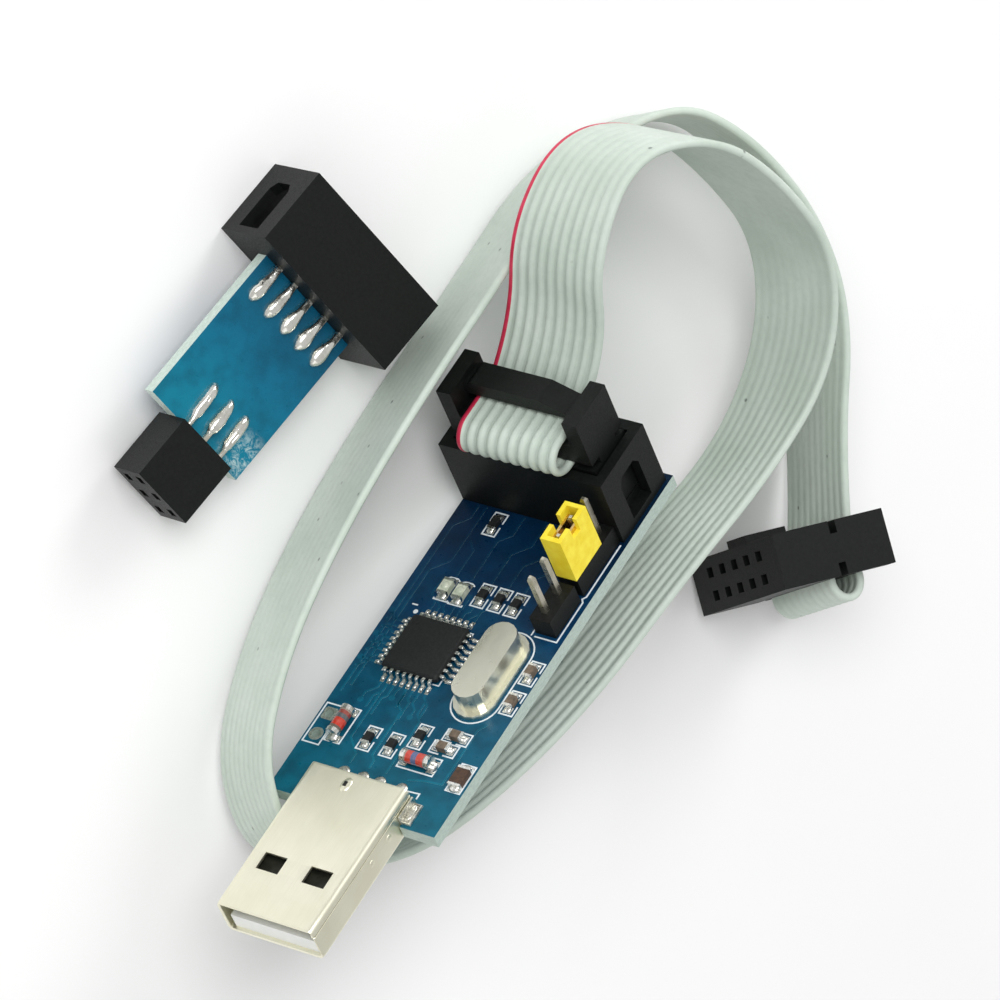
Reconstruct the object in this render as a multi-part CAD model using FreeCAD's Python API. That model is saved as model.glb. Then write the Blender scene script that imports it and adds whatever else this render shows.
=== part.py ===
import FreeCAD, Part
import os, math
from FreeCAD import Vector as V

# A small USB programmer board with a ten-wire ribbon cable, a second cable
# socket and a ten-to-six pin adapter, laid out on a table.  Millimetres.
# The table is Z = 0.  The board leans on its long edge, the ribbon stands on
# its own edge, the adapter lies flat.

# ---------------------------------------------------------------- dimensions
ORIGIN_X, ORIGIN_Y = -19.473, 32.058   # table point taken as the origin
BOARD_RISE = 24.705                    # board datum above the table
TABLE_UP_IN_BOARD = (0.91051, -0.22587, 0.34634)

PCB_HALF_W, PCB_Y0, PCB_Y1, PCB_T = 10.4, 15.7, 65.0, 1.6
USB_HALF_W, USB_Z0, USB_Z1, USB_LEN, USB_WALL = 6.0, -2.15, 2.35, 18.79, 0.30
NOTCH_HALF_W, NOTCH_Y = 6.1, 18.9

PITCH = 2.54
PIN = 0.64
PIN_HOLE_R = 0.52
HX, HY = -0.2, 59.85                   # box header centre
HEADER_LEN, HEADER_W, HEADER_H, HEADER_FLOOR = 20.3, 8.86, 8.9, 1.9
CAVITY_LEN, CAVITY_W = 18.0, 6.46
PIN_TOP = 7.6
PLUG_LEN, PLUG_W = 17.4, 6.0
PLUG_LIFT = 2.0                        # underside of the seated plug above the board
PLUG_BODY_H, PLUG_COVER_Z0, PLUG_COVER_Z1, PLUG_BAR_Z0, PLUG_H = 7.15, 8.05, 10.7, 12.1, 14.2
SOCKET_HOLE = 1.1

STRIP_X, STRIP_H, STRIP_W = 8.2, 2.5, 2.54
STRIP2_PINS = (43.35, 45.9)
STRIP3_PINS = (49.1, 51.65, 54.2)
STRIP_PIN_TOP = 8.0
JUMPER = (6.95, 9.45, 47.75, 52.95, 2.55, 8.6)

MCU_X, MCU_Y, MCU_BODY, MCU_SPAN, MCU_H = -3.1, 36.3, 7.0, 9.0, 1.3
XTAL_X, XTAL_Y = 5.5, 35.5

RIBBON_W, RIBBON_T = 12.7, 0.9
EXIT_T, EXIT_M = 2.78, 11.53           # where the ribbon leaves a cable socket

FAR_ORIGIN = (24.00, 67.75, 9.30)
FAR_ROT_L = (0.269, -0.187, -0.945)
FAR_ROT_M = (0.577, 0.817, 0.003)

ADAPTER_AT = (-34.2, 51.75, 4.45)
ADAPTER_TURN = 2.5
ADAPTER_HALF_W, ADAPTER_LEN = 6.9, 18.5
ADAPTER_SOCKET = (0.8, 7.7, 5.2, 7.4)    # centre across, width, height, length

# route of the ribbon's middle line and the direction of its width (lower to
# upper edge) at each point, table frame before the origin shift; the first
# and last points are set by the two sockets.
ROUTE = [
    None,
    ((-16.00, 66.80, 16.25), (0.38, 0.16, 0.91)),
    ((-26.20, 70.54, 21.55), (0.35, 0.02, 0.94)),
    ((-30.12, 80.81, 21.57), (0.15, 0.00, 0.99)),
    ((-23.46, 89.27, 20.72), (0.11, 0.08, 0.99)),
    ((-12.86, 92.58, 18.64), (0.16, 0.14, 0.98)),
    ((-0.68, 93.79, 15.37), (0.20, 0.09, 0.98)),
    ((8.93, 86.98, 13.53), (0.17, -0.02, 0.98)),
    ((13.35, 75.18, 12.40), (-0.02, -0.09, 1.00)),
    ((14.09, 60.55, 11.07), (0.07, -0.07, 1.00)),
    ((15.36, 44.38, 9.94), (0.21, -0.04, 0.98)),
    ((15.22, 29.69, 9.53), (0.05, -0.02, 1.00)),
    ((13.13, 17.59, 9.77), (-0.16, 0.05, 0.99)),
    ((5.34, 9.42, 9.11), (-0.15, 0.08, 0.99)),
    ((-5.14, 12.94, 7.60), (-0.16, -0.03, 0.99)),
    ((-11.52, 23.10, 6.89), (-0.19, -0.04, 0.98)),
    ((-16.13, 36.33, 6.66), (-0.18, -0.04, 0.98)),
    ((-19.46, 51.64, 6.66), (-0.19, -0.03, 0.98)),
    ((-21.80, 67.31, 6.66), (-0.21, -0.02, 0.98)),
    ((-24.10, 81.14, 6.38), (-0.23, 0.02, 0.97)),
    ((-20.40, 93.57, 6.47), (-0.20, 0.14, 0.97)),
    ((-12.19, 99.00, 6.74), (-0.04, -0.09, 0.99)),
    ((0.30, 98.68, 6.44), (0.03, 0.09, 0.99)),
    ((11.35, 94.20, 6.65), (0.01, 0.16, 0.99)),
    ((22.73, 85.01, 6.65), (-0.25, 0.03, 0.97)),
    None,
]
# ribbon nodes, cut halfway along a run: (name, from, to) in route steps
RIBBON_NODES = [
    ("ribbon_rise", 0, 3.5), ("ribbon_first_arch", 3.5, 7.5),
    ("ribbon_outer_run", 7.5, 11.5), ("ribbon_under_loop", 11.5, 14.5),
    ("ribbon_inner_run", 14.5, 18.5), ("ribbon_second_arch", 18.5, 22.5),
    ("ribbon_tail", 22.5, 25),
]

os.makedirs("parts", exist_ok=True)
SHAPES = {}


# ------------------------------------------------------------------- helpers
def unit(v):
    return v * (1.0 / v.Length)


def frame_matrix(ex, ey, ez, o):
    return FreeCAD.Matrix(ex.x, ey.x, ez.x, o.x,
                          ex.y, ey.y, ez.y, o.y,
                          ex.z, ey.z, ez.z, o.z,
                          0, 0, 0, 1)


def bx(x0, x1, y0, y1, z0, z1):
    return Part.makeBox(x1 - x0, y1 - y0, z1 - z0, V(x0, y0, z0))


def prism(pts, vec):
    face = Part.Face(Part.makePolygon([V(*p) for p in pts] + [V(*pts[0])]))
    return face.extrude(V(*vec))


def ngon(cx, cy, r, n, z0, z1, turn=0.5):
    # polygon whose flats touch the circle of radius r
    rr = r / math.cos(math.pi / n)
    pts = [(cx + rr * math.cos(2 * math.pi * (k + turn) / n),
            cy + rr * math.sin(2 * math.pi * (k + turn) / n), z0) for k in range(n)]
    return prism(pts, (0, 0, z1 - z0))


def rod_along(axis, c, r, half, n=12):
    # many-sided rod with a flat underneath, lying along x or y
    rr = r / math.cos(math.pi / n)
    ring = [(rr * math.cos(2 * math.pi * (k + 0.5) / n),
             rr * math.sin(2 * math.pi * (k + 0.5) / n)) for k in range(n)]
    if axis == "y":
        return prism([(c[0] + a, c[1] - half, c[2] + b) for a, b in ring], (0, 2 * half, 0))
    return prism([(c[0] - half, c[1] + a, c[2] + b) for a, b in ring], (2 * half, 0, 0))


def obround(cx, cy, length, width, z0, z1, n=8):
    r = width / 2.0
    s = length / 2.0 - r
    pts = []
    for k in range(n + 1):
        a = math.pi * k / n
        pts.append((cx + r * math.cos(a), cy + s + r * math.sin(a), z0))
    for k in range(n + 1):
        a = math.pi + math.pi * k / n
        pts.append((cx + r * math.cos(a), cy - s + r * math.sin(a), z0))
    return prism(pts, (0, 0, z1 - z0))


def polyhedron(sections):
    # closed solid through four-cornered sections, flat triangles all round
    faces = []

    def tri(a, b, c):
        faces.append(Part.Face(Part.makePolygon([a, b, c, a])))

    first, last = sections[0], sections[-1]
    faces.append(Part.Face(Part.makePolygon([first[3], first[2], first[1], first[0], first[3]])))
    faces.append(Part.Face(Part.makePolygon([last[0], last[1], last[2], last[3], last[0]])))
    for s0, s1 in zip(sections[:-1], sections[1:]):
        for k in range(4):
            j = (k + 1) % 4
            tri(s0[k], s0[j], s1[j])
            tri(s0[k], s1[j], s1[k])
    solid = Part.Solid(Part.Shell(faces))
    if solid.Volume < 0:
        solid.reverse()
    return solid


def keep(name, shapes, matrix=None):
    if not isinstance(shapes, (list, tuple)):
        shapes = [shapes]
    out = []
    for s in shapes:
        for q in s.Solids:
            q = q.removeSplitter() if len(s.Solids) == 1 else q
            for r in q.Solids:
                if matrix is not None:
                    r = r.transformed(matrix, True)
                out.append(r)
    SHAPES[name] = out


# ------------------------------------------------------------ frames in space
Y_AXIS = V(0, 1, 0)
U = unit(V(*TABLE_UP_IN_BOARD))
E1 = unit(Y_AXIS.cross(U))
E2 = unit(U.cross(E1))
# board axes seen from the table
BX = V(E1.x, E2.x, U.x)
BY = V(E1.y, E2.y, U.y)
BZ = V(E1.z, E2.z, U.z)
BO = V(-ORIGIN_X, -ORIGIN_Y, BOARD_RISE)
BOARD = frame_matrix(BX, BY, BZ, BO)
NEAR = frame_matrix(BX, BY, BZ, BO + BX * HX + BY * HY + BZ * PLUG_LIFT)

FL = unit(V(*FAR_ROT_L))
FM = V(*FAR_ROT_M)
FM = unit(FM - FL * FM.dot(FL))
FT = FM.cross(FL)
FO = V(*FAR_ORIGIN) - V(ORIGIN_X, ORIGIN_Y, 0)
FAR = frame_matrix(FL, FT, FM, FO)

_c, _s = math.cos(math.radians(ADAPTER_TURN)), math.sin(math.radians(ADAPTER_TURN))
AO = V(*ADAPTER_AT) - V(ORIGIN_X, ORIGIN_Y, 0)
ADAPTER = frame_matrix(V(_c, _s, 0), V(-_s, _c, 0), V(0, 0, 1), AO)

# ------------------------------------------------------------------ the board
header_pins_xy = [(HX + (i - 2) * PITCH, HY + s * PITCH / 2) for s in (-1, 1) for i in range(5)]
strip2_xy = [(STRIP_X, y) for y in STRIP2_PINS]
strip3_xy = [(STRIP_X, y) for y in STRIP3_PINS]
spare_xy = [(-9.1, 26.0), (-9.1, 23.3)]

pcb = prism([(-PCB_HALF_W, PCB_Y0, -PCB_T), (-NOTCH_HALF_W, PCB_Y0, -PCB_T),
             (-NOTCH_HALF_W, NOTCH_Y, -PCB_T), (NOTCH_HALF_W, NOTCH_Y, -PCB_T),
             (NOTCH_HALF_W, PCB_Y0, -PCB_T), (PCB_HALF_W, PCB_Y0, -PCB_T),
             (PCB_HALF_W, PCB_Y1, -PCB_T), (-PCB_HALF_W, PCB_Y1, -PCB_T)], (0, 0, PCB_T))
for x, y in header_pins_xy + strip2_xy + strip3_xy + spare_xy:
    pcb = pcb.cut(ngon(x, y, PIN_HOLE_R, 12, -PCB_T - 1, 1))
keep("circuit_board", pcb, BOARD)


def usb_profile(hw, z0, z1, c, y0, y1):
    pts = [(-hw + c, y0, z0), (hw - c, y0, z0), (hw, y0, z0 + c), (hw, y0, z1 - c),
           (hw - c, y0, z1), (-hw + c, y0, z1), (-hw, y0, z1 - c), (-hw, y0, z0 + c)]
    return prism(pts, (0, y1 - y0, 0))


shell = usb_profile(USB_HALF_W, USB_Z0, USB_Z1, 0.5, 0, USB_LEN)
shell = shell.cut(usb_profile(USB_HALF_W - USB_WALL, USB_Z0 + USB_WALL, USB_Z1 - USB_WALL, 0.35,
                              -1, USB_LEN - 0.6))
for sx in (-1, 1):
    xa, xb = sorted((sx * 1.5, sx * 4.2))
    shell = shell.cut(bx(xa, xb, 5.1, 7.2, USB_Z1 - 1, USB_Z1 + 1))
    shell = shell.cut(bx(xa, xb, 5.1, 7.2, USB_Z0 - 1, USB_Z0 + USB_WALL))
keep("usb_shell", shell, BOARD)
tongue = bx(-5.25, 5.25, 0.45, USB_LEN - 0.7, USB_Z0 + USB_WALL, 0.0)
contacts = []
for x in (-3.5, -1.0, 1.0, 3.5):
    contacts.append(bx(x - 0.55, x + 0.55, 1.5 if abs(x) > 2 else 2.4, 10.2, 0.0, 0.18))
keep("usb_tongue", tongue, BOARD)
keep("usb_contacts", contacts, BOARD)


def cable_header(cx, cy, z0):
    # shroud standing on z0, cavity up, notch for the key in the far long wall
    hl, hw = HEADER_LEN / 2, HEADER_W / 2
    s = bx(cx - hl, cx + hl, cy - hw, cy + hw, z0, z0 + HEADER_H)
    s = s.cut(bx(cx - CAVITY_LEN / 2, cx + CAVITY_LEN / 2, cy - CAVITY_W / 2, cy + CAVITY_W / 2,
                 z0 + HEADER_FLOOR, z0 + HEADER_H + 1))
    for sx in (-1, 1):
        # tall slot in each end wall, narrowed at its top
        xa, xb = sorted((cx + sx * (CAVITY_LEN / 2 - 0.25), cx + sx * (hl + 1)))
        s = s.cut(prism([(xa, cy - 1.85, z0 + 0.9), (xa, cy + 1.85, z0 + 0.9), (xa, cy + 1.85, z0 + 5.9),
                         (xa, cy + 1.15, z0 + 6.8), (xa, cy - 1.15, z0 + 6.8), (xa, cy - 1.85, z0 + 5.9)],
                        (xb - xa, 0, 0)))
    s = s.cut(bx(cx - 2.25, cx + 2.25, cy, cy + hw + 1, z0 + 2.6, z0 + HEADER_H + 1))
    pins = []
    for sy in (-1, 1):
        for i in range(5):
            x, y = cx + (i - 2) * PITCH, cy + sy * PITCH / 2
            s = s.cut(bx(x - PIN / 2, x + PIN / 2, y - PIN / 2, y + PIN / 2, z0 - 1, z0 + 3))
            pins.append((x, y))
    return s, pins


def pin(x, y, z0, z1):
    # square post with pointed ends
    h, c, k = PIN / 2, 0.18, 0.35
    def ring(a, z):
        return [V(x - a, y - a, z), V(x + a, y - a, z), V(x + a, y + a, z), V(x - a, y + a, z)]
    return polyhedron([ring(c, z0), ring(h, z0 + k), ring(h, z1 - k), ring(c, z1)])


shroud, hp = cable_header(HX, HY, 0)
keep("box_header_shroud", shroud, BOARD)
keep("box_header_pins", [pin(x, y, -3.0, PIN_TOP) for x, y in hp], BOARD)


def strip(ys, y0, y1):
    s = bx(STRIP_X - STRIP_W / 2, STRIP_X + STRIP_W / 2, y0, y1, 0, STRIP_H)
    for y in ys:
        s = s.cut(bx(STRIP_X - PIN / 2, STRIP_X + PIN / 2, y - PIN / 2, y + PIN / 2, -1, STRIP_H + 1))
    return s


keep("two_pin_strip", strip(STRIP2_PINS, 42.08, 47.17), BOARD)
keep("two_pin_strip_pins", [pin(x, y, -3.0, STRIP_PIN_TOP) for x, y in strip2_xy], BOARD)
keep("three_pin_strip", strip(STRIP3_PINS, 47.83, 55.36), BOARD)
keep("three_pin_strip_pins", [pin(x, y, -3.0, STRIP_PIN_TOP) for x, y in strip3_xy], BOARD)

jx0, jx1, jy0, jy1, jz0, jz1 = JUMPER
jc = STRIP_X
cap = bx(jx0, jx1, jy0, jy1, jz0, jz1)
cap = cap.cut(bx(jc - 0.75, jc + 0.75, 48.3, 52.45, jz0 - 1, jz1 + 1))
cap = cap.cut(bx(jx0 - 1, jx1 + 1, 49.75, 51.05, jz1 - 1.6, jz1 + 1))
keep("jumper_shell", cap, BOARD)
clip = bx(jc - 0.75, jc - 0.5, 48.6, 52.15, 3.2, 7.6)
clip = clip.fuse(bx(jc + 0.5, jc + 0.75, 48.6, 52.15, 3.2, 7.6))
clip = clip.fuse(bx(jc - 0.75, jc + 0.75, 50.0, 50.75, 6.4, 6.7))
keep("jumper_clip", clip, BOARD)

# microcontroller: square body, eight gull-wing leads a side
hb = MCU_BODY / 2
keep("microcontroller_body", bx(MCU_X - hb, MCU_X + hb, MCU_Y - hb, MCU_Y + hb, 0.15, MCU_H), BOARD)
leads = []
g = [(hb, 0.62), (hb + 0.32, 0.62), (hb + 0.52, 0.0), (MCU_SPAN / 2, 0.0),
     (MCU_SPAN / 2, 0.16), (hb + 0.60, 0.16), (hb + 0.42, 0.78), (hb, 0.78)]
for side in range(4):
    a = math.radians(90 * side)
    for k in range(8):
        o = (k - 3.5) * 0.8
        pts = []
        for r, z in g:
            lx, ly = r, o - 0.185
            pts.append((MCU_X + lx * math.cos(a) - ly * math.sin(a),
                        MCU_Y + lx * math.sin(a) + ly * math.cos(a), z))
        leads.append(prism(pts, (-0.37 * math.sin(a), 0.37 * math.cos(a), 0)))
keep("microcontroller_leads", leads, BOARD)

keep("crystal_base", obround(XTAL_X, XTAL_Y, 11.3, 4.8, 0.0, 0.55), BOARD)
keep("crystal_can", obround(XTAL_X, XTAL_Y, 10.1, 3.65, 0.55, 3.0), BOARD)


def chip(x, y, length, width, h, axis, term=0.3):
    # ceramic block with a metal cap at each end
    a, b = length / 2, width / 2
    if axis == "y":
        return (bx(x - b, x + b, y - a + term, y + a - term, 0, h),
                [bx(x - b, x + b, y - a, y - a + term, 0, h), bx(x - b, x + b, y + a - term, y + a, 0, h)])
    return (bx(x - a + term, x + a - term, y - b, y + b, 0, h),
            [bx(x - a, x - a + term, y - b, y + b, 0, h), bx(x + a - term, x + a, y - b, y + b, 0, h)])


def group(name, rows):
    bodies, terms = [], []
    for r in rows:
        b, t = chip(*r)
        bodies.append(b)
        terms += t
    keep(name, bodies, BOARD)
    keep(name + "_ends", terms, BOARD)


group("chip_resistors", [(-1.2, 44.6, 1.7, 0.9, 0.5, "y"), (0.9, 44.6, 1.7, 0.9, 0.5, "y"),
                         (3.0, 44.55, 1.7, 0.9, 0.5, "y"), (-5.05, 53.4, 1.7, 0.9, 0.5, "y"),
                         (-3.15, 24.5, 1.7, 0.9, 0.5, "y"), (-0.26, 24.5, 1.7, 0.9, 0.5, "y"),
                         (2.1, 26.4, 1.7, 0.9, 0.5, "y")])
group("chip_capacitors", [(6.0, 27.5, 1.7, 0.9, 0.8, "x"), (5.4, 25.8, 1.7, 0.9, 0.8, "x"),
                          (9.35, 37.2, 1.7, 0.9, 0.8, "y"), (9.35, 33.2, 1.7, 0.9, 0.8, "y")])
group("status_leds", [(-5.5, 44.2, 2.0, 1.2, 0.75, "y"), (-3.6, 44.1, 2.0, 1.2, 0.75, "y")])
group("resettable_fuse", [(9.2, 23.0, 2.5, 1.5, 0.7, "y")])
keep("glass_diodes", [rod_along("y", (-6.9, 25.1, 0.75), 0.68, 1.25),
                      rod_along("x", (3.8, 23.4, 0.75), 0.68, 1.25)], BOARD)
keep("diode_caps", [rod_along("y", (-6.9, 25.1 - 1.5, 0.75), 0.75, 0.25),
                    rod_along("y", (-6.9, 25.1 + 1.5, 0.75), 0.75, 0.25),
                    rod_along("x", (3.8 - 1.5, 23.4, 0.75), 0.75, 0.25),
                    rod_along("x", (3.8 + 1.5, 23.4, 0.75), 0.75, 0.25)], BOARD)


def fillet_under(x, y):
    # solder cone under the board round a square post
    def ring(a, z):
        return [V(x - a, y - a, z), V(x + a, y - a, z), V(x + a, y + a, z), V(x - a, y + a, z)]
    s = polyhedron([ring(0.45, -PCB_T - 0.9), ring(0.85, -PCB_T - 0.15), ring(0.85, -PCB_T)])
    return s.cut(bx(x - PIN / 2, x + PIN / 2, y - PIN / 2, y + PIN / 2, -4, 0))


keep("solder_joints", [fillet_under(x, y) for x, y in header_pins_xy + strip2_xy + strip3_xy], BOARD)
pads = [bx(-7.2, -6.0, 16.2, 18.8, 0.0, 0.45), bx(6.0, 7.2, 16.2, 18.8, 0.0, 0.45)]
for x in (-3.5, -1.1, 1.0, 3.7):
    pads.append(prism([(x - 0.75, 19.2, 0), (x + 0.75, 19.2, 0), (x + 0.75, 20.4, 0), (x + 0.45, 21.1, 0),
                       (x - 0.45, 21.1, 0), (x - 0.75, 20.4, 0)], (0, 0, 0.35)))
keep("usb_solder", pads, BOARD)


# ------------------------------------------------------------- cable sockets
def cable_socket(prefix, matrix, alpha):
    # local axes: along the socket, across it, up from its mating face
    hl, hw = PLUG_LEN / 2, PLUG_W / 2
    body = bx(-hl, hl, -hw, hw, 0, PLUG_BODY_H)
    for sx in (-1, 1):
        xa, xb = sorted((sx * (hl - 0.9), sx * (hl + 1)))
        body = body.cut(bx(xa, xb, -1.6, 1.6, 3.2, PLUG_BODY_H + 1))
    body = body.fuse(bx(-1.9, 1.9, hw, hw + 0.9, 1.0, 6.2))
    metal = []
    for sy in (-1, 1):
        for i in range(5):
            x, y = (i - 2) * PITCH, sy * PITCH / 2
            h = SOCKET_HOLE / 2
            body = body.cut(bx(x - h, x + h, y - h, y + h, -1, PLUG_BODY_H + 1))
            m = bx(x - h, x + h, y - h, y + h, PLUG_BODY_H - 0.9, PLUG_BODY_H)
            m = m.fuse(bx(x - h, x + h, y + sy * h - (0.14 if sy > 0 else 0), y + sy * h + (0.14 if sy < 0 else 0),
                          0.8, PLUG_BODY_H))
            metal.append(m)
    keep(prefix + "_socket_body", body, matrix)
    keep(prefix + "_socket_contacts", metal, matrix)
    cover = bx(-hl, hl, -hw, hw, PLUG_COVER_Z0, PLUG_COVER_Z1)
    for sx in (-1, 1):
        xa, xb = sorted((sx * (hl - 0.9), sx * hl))
        cover = cover.fuse(bx(xa, xb, -1.6, 1.6, 3.2, PLUG_COVER_Z0))
    keep(prefix + "_socket_cover", cover, matrix)
    # clamping bar, sloping down towards one end
    bz0, bz1 = PLUG_BAR_Z0, PLUG_H - 0.3
    bar = prism([(-hl, -0.8, bz0), (hl, -0.8, bz0), (hl, -0.8, bz1 - 1.15), (5.6, -0.8, bz1 - 1.15),
                 (2.6, -0.8, bz1), (-5.9, -0.8, bz1), (-6.5, -0.8, bz1 - 0.4), (-hl, -0.8, bz1 - 0.4)], (0, 3.0, 0))
    for sx in (-1, 1):
        xa, xb = sorted((sx * 6.9, sx * hl))
        bar = bar.fuse(bx(xa, xb, -hw, hw, PLUG_COVER_Z1, PLUG_H))
    keep(prefix + "_strain_relief", bar, matrix)
    # ribbon end: clamped under the cover, folded back over it, out under the bar
    rise = 0.34
    rr = rise / (1 - math.cos(alpha))
    m1 = EXIT_M - rise
    mid = PLUG_BODY_H + RIBBON_T / 2
    rad = (m1 - mid) / 2
    t0, tf = 2.7, -3.35
    path = [((t0, mid), (-1, 0))]
    n = 12
    for k in range(n + 1):
        a = math.pi * k / n
        path.append(((tf - rad * math.sin(a), mid + rad - rad * math.cos(a)), (-math.cos(a), math.sin(a))))
    ts = EXIT_T - rr * math.sin(alpha)
    for k in range(5):
        a = alpha * k / 4
        path.append(((ts + rr * math.sin(a), m1 + rr * (1 - math.cos(a))), (math.cos(a), math.sin(a))))
    secs = []
    w, h = RIBBON_W / 2, RIBBON_T / 2
    for (t, m), (dt, dm) in path:
        nt, nm = -dm * h, dt * h
        secs.append([V(-w, t - nt, m - nm), V(w, t - nt, m - nm), V(w, t + nt, m + nm), V(-w, t + nt, m + nm)])
    keep(prefix + "_ribbon_fold", polyhedron(secs), matrix)


# -------------------------------------------------------------------- ribbon
def local(matrix, x, y, z):
    return matrix.multVec(V(x, y, z))


shift = V(ORIGIN_X, ORIGIN_Y, 0)
centres, widths = [], []
for item in ROUTE:
    if item is None:
        centres.append(None)
        widths.append(None)
    else:
        centres.append(V(*item[0]) - shift)
        widths.append(unit(V(*item[1])))
centres[0] = local(NEAR, 0, EXIT_T, EXIT_M)
widths[0] = V(BX)
centres[-1] = local(FAR, 0, EXIT_T, EXIT_M)
widths[-1] = FL * -1.0
d0 = unit(centres[1] - centres[0])
d1 = unit(centres[-2] - centres[-1])
near_alpha = math.atan2(d0.dot(BZ), d0.dot(BY))
far_alpha = math.atan2(d1.dot(FM), d1.dot(FT))
print("near exit angle %.1f, far exit angle %.1f" % (math.degrees(near_alpha), math.degrees(far_alpha)))
cable_socket("near", NEAR, near_alpha)
cable_socket("far", FAR, far_alpha)

N = len(centres)
runs = [(centres[i + 1] - centres[i]).Length for i in range(N - 1)]
samples = []          # (step, centre, tangent)
radii = []
length = 0.0
samples.append((0.0, centres[0], unit(centres[1] - centres[0])))
prev = centres[0]
for i in range(1, N - 1):
    a = unit(centres[i] - centres[i - 1])
    b = unit(centres[i + 1] - centres[i])
    turn = a.getAngle(b)
    cut = 0.45 * min(runs[i - 1], runs[i])
    r = cut / math.tan(turn / 2)
    radii.append(r)
    p0, p1 = centres[i] - a * cut, centres[i] + b * cut
    axis = unit(a.cross(b))
    inward = unit(axis.cross(a))
    centre = p0 + inward * r
    steps = max(2, int(math.ceil(math.degrees(turn) / 9.0)))
    length += (p0 - prev).Length + r * turn
    for k in range(steps + 1):
        t = turn * k / steps
        pos = centre + (inward * -1.0) * (r * math.cos(t)) + a * (r * math.sin(t))
        tan = a * math.cos(t) + inward * math.sin(t)
        f = k / float(steps)
        s = i + (-cut / runs[i - 1] * (1 - f) + cut / runs[i] * f)
        samples.append((s, pos, tan))
    prev = p1
length += (centres[-1] - prev).Length
samples.append((float(N - 1), centres[-1], unit(centres[-1] - centres[-2])))
print("ribbon radii", ["%.1f" % r for r in radii], "least %.1f" % min(radii))
print("runs", ["%.1f" % r for r in runs])


def width_at(s):
    i = min(int(s), N - 2)
    f = s - i
    return unit(widths[i] * (1 - f) + widths[i + 1] * f)


def section(s, pos, tan):
    w = width_at(s)
    n = unit(w.cross(tan))
    a, h = w * (RIBBON_W / 2), n * (RIBBON_T / 2)
    return [pos - a - h, pos + a - h, pos + a + h, pos - a + h]


def at(s):
    # a cut in the middle of a run
    i = int(s)
    d = unit(centres[i + 1] - centres[i])
    return (s, (centres[i] + centres[i + 1]) * 0.5, d)


total = 0.0
for name, s0, s1 in RIBBON_NODES:
    mids = [q for q in samples if s0 + 1e-6 < q[0] < s1 - 1e-6]
    start = samples[0] if s0 == 0 else at(s0)
    end = samples[-1] if s1 == N - 1 else at(s1)
    solid = polyhedron([section(*q) for q in [start] + mids + [end]])
    total += solid.Volume
    keep(name, solid)
print("ribbon length %.1f, volume %.1f, section times length %.1f"
      % (length, total, RIBBON_W * RIBBON_T * length))

# ------------------------------------------------------------------- adapter
# local axes: across, along towards the header's mouth, up
aw, al = ADAPTER_HALF_W, ADAPTER_LEN
keep("adapter_board", bx(-aw, aw, -al, 0, -0.8, 0.8), ADAPTER)
sh, ap = cable_header(0, 0, 0)
# stand the header on its side: its height runs along the adapter
stand = FreeCAD.Matrix(1, 0, 0, 0, 0, 0, 1, 0, 0, -1, 0, 0, 0, 0, 0, 1)
sh = sh.transformed(stand, True)
keep("adapter_box_header", sh, ADAPTER)
hpins = []
for x, y in ap:
    hpins.append(pin(x, y, -3.4, PIN_TOP).transformed(stand, True))
keep("adapter_header_pins", hpins, ADAPTER)
sc, sw, shh, sl = ADAPTER_SOCKET
sock = bx(sc - sw / 2, sc + sw / 2, -al - sl, -al, -shh / 2, shh / 2)
sock_metal = []
for sy in (-1, 1):
    for i in (-1, 0, 1):
        x, z = sc + i * PITCH, sy * PITCH / 2
        sock = sock.cut(bx(x - 0.5, x + 0.5, -al - sl - 1, -al + 1, z - 0.5, z + 0.5))
        m = bx(x - 0.5, x + 0.5, -al - 1.2, -al, z - 0.5, z + 0.5)
        m = m.fuse(bx(x - 0.5, x + 0.5, -al - sl + 0.9, -al, z + sy * 0.5 - (0.14 if sy > 0 else 0),
                      z + sy * 0.5 + (0.14 if sy < 0 else 0)))
        m = m.fuse(bx(x - 0.25, x + 0.25, -al, -al + 3.6, z - 0.32, z + 0.32))
        sock_metal.append(m)
keep("adapter_socket", sock, ADAPTER)
keep("adapter_socket_contacts", sock_metal, ADAPTER)


def solder_bead(x, y0, y1, z, half):
    # bead that holds a post lying on the adapter board
    s = 1 if z > 0 else -1
    base, top = 0.8, 1.95
    def ring(a, y):
        q = [V(x - a, y, s * base), V(x + a, y, s * base), V(x + a * 0.55, y, s * top), V(x - a * 0.55, y, s * top)]
        return q
    b = polyhedron([ring(0.75, y0), ring(0.9, (y0 + y1) / 2), ring(0.7, y1)])
    return b


beads = []
for sy in (-1, 1):
    for x, y in ap:
        if y * sy > 0:
            bead = solder_bead(x, -4.6, -0.25, -sy, 0.9)
            for q in hpins:
                bead = bead.cut(q)
            beads.append(bead)
    for i in (-1, 0, 1):
        bead = solder_bead(sc + i * PITCH, -al + 0.3, -al + 4.4, sy, 0.9)
        for q in sock_metal:
            bead = bead.cut(q)
        beads.append(bead)
keep("adapter_solder", beads, ADAPTER)

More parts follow.
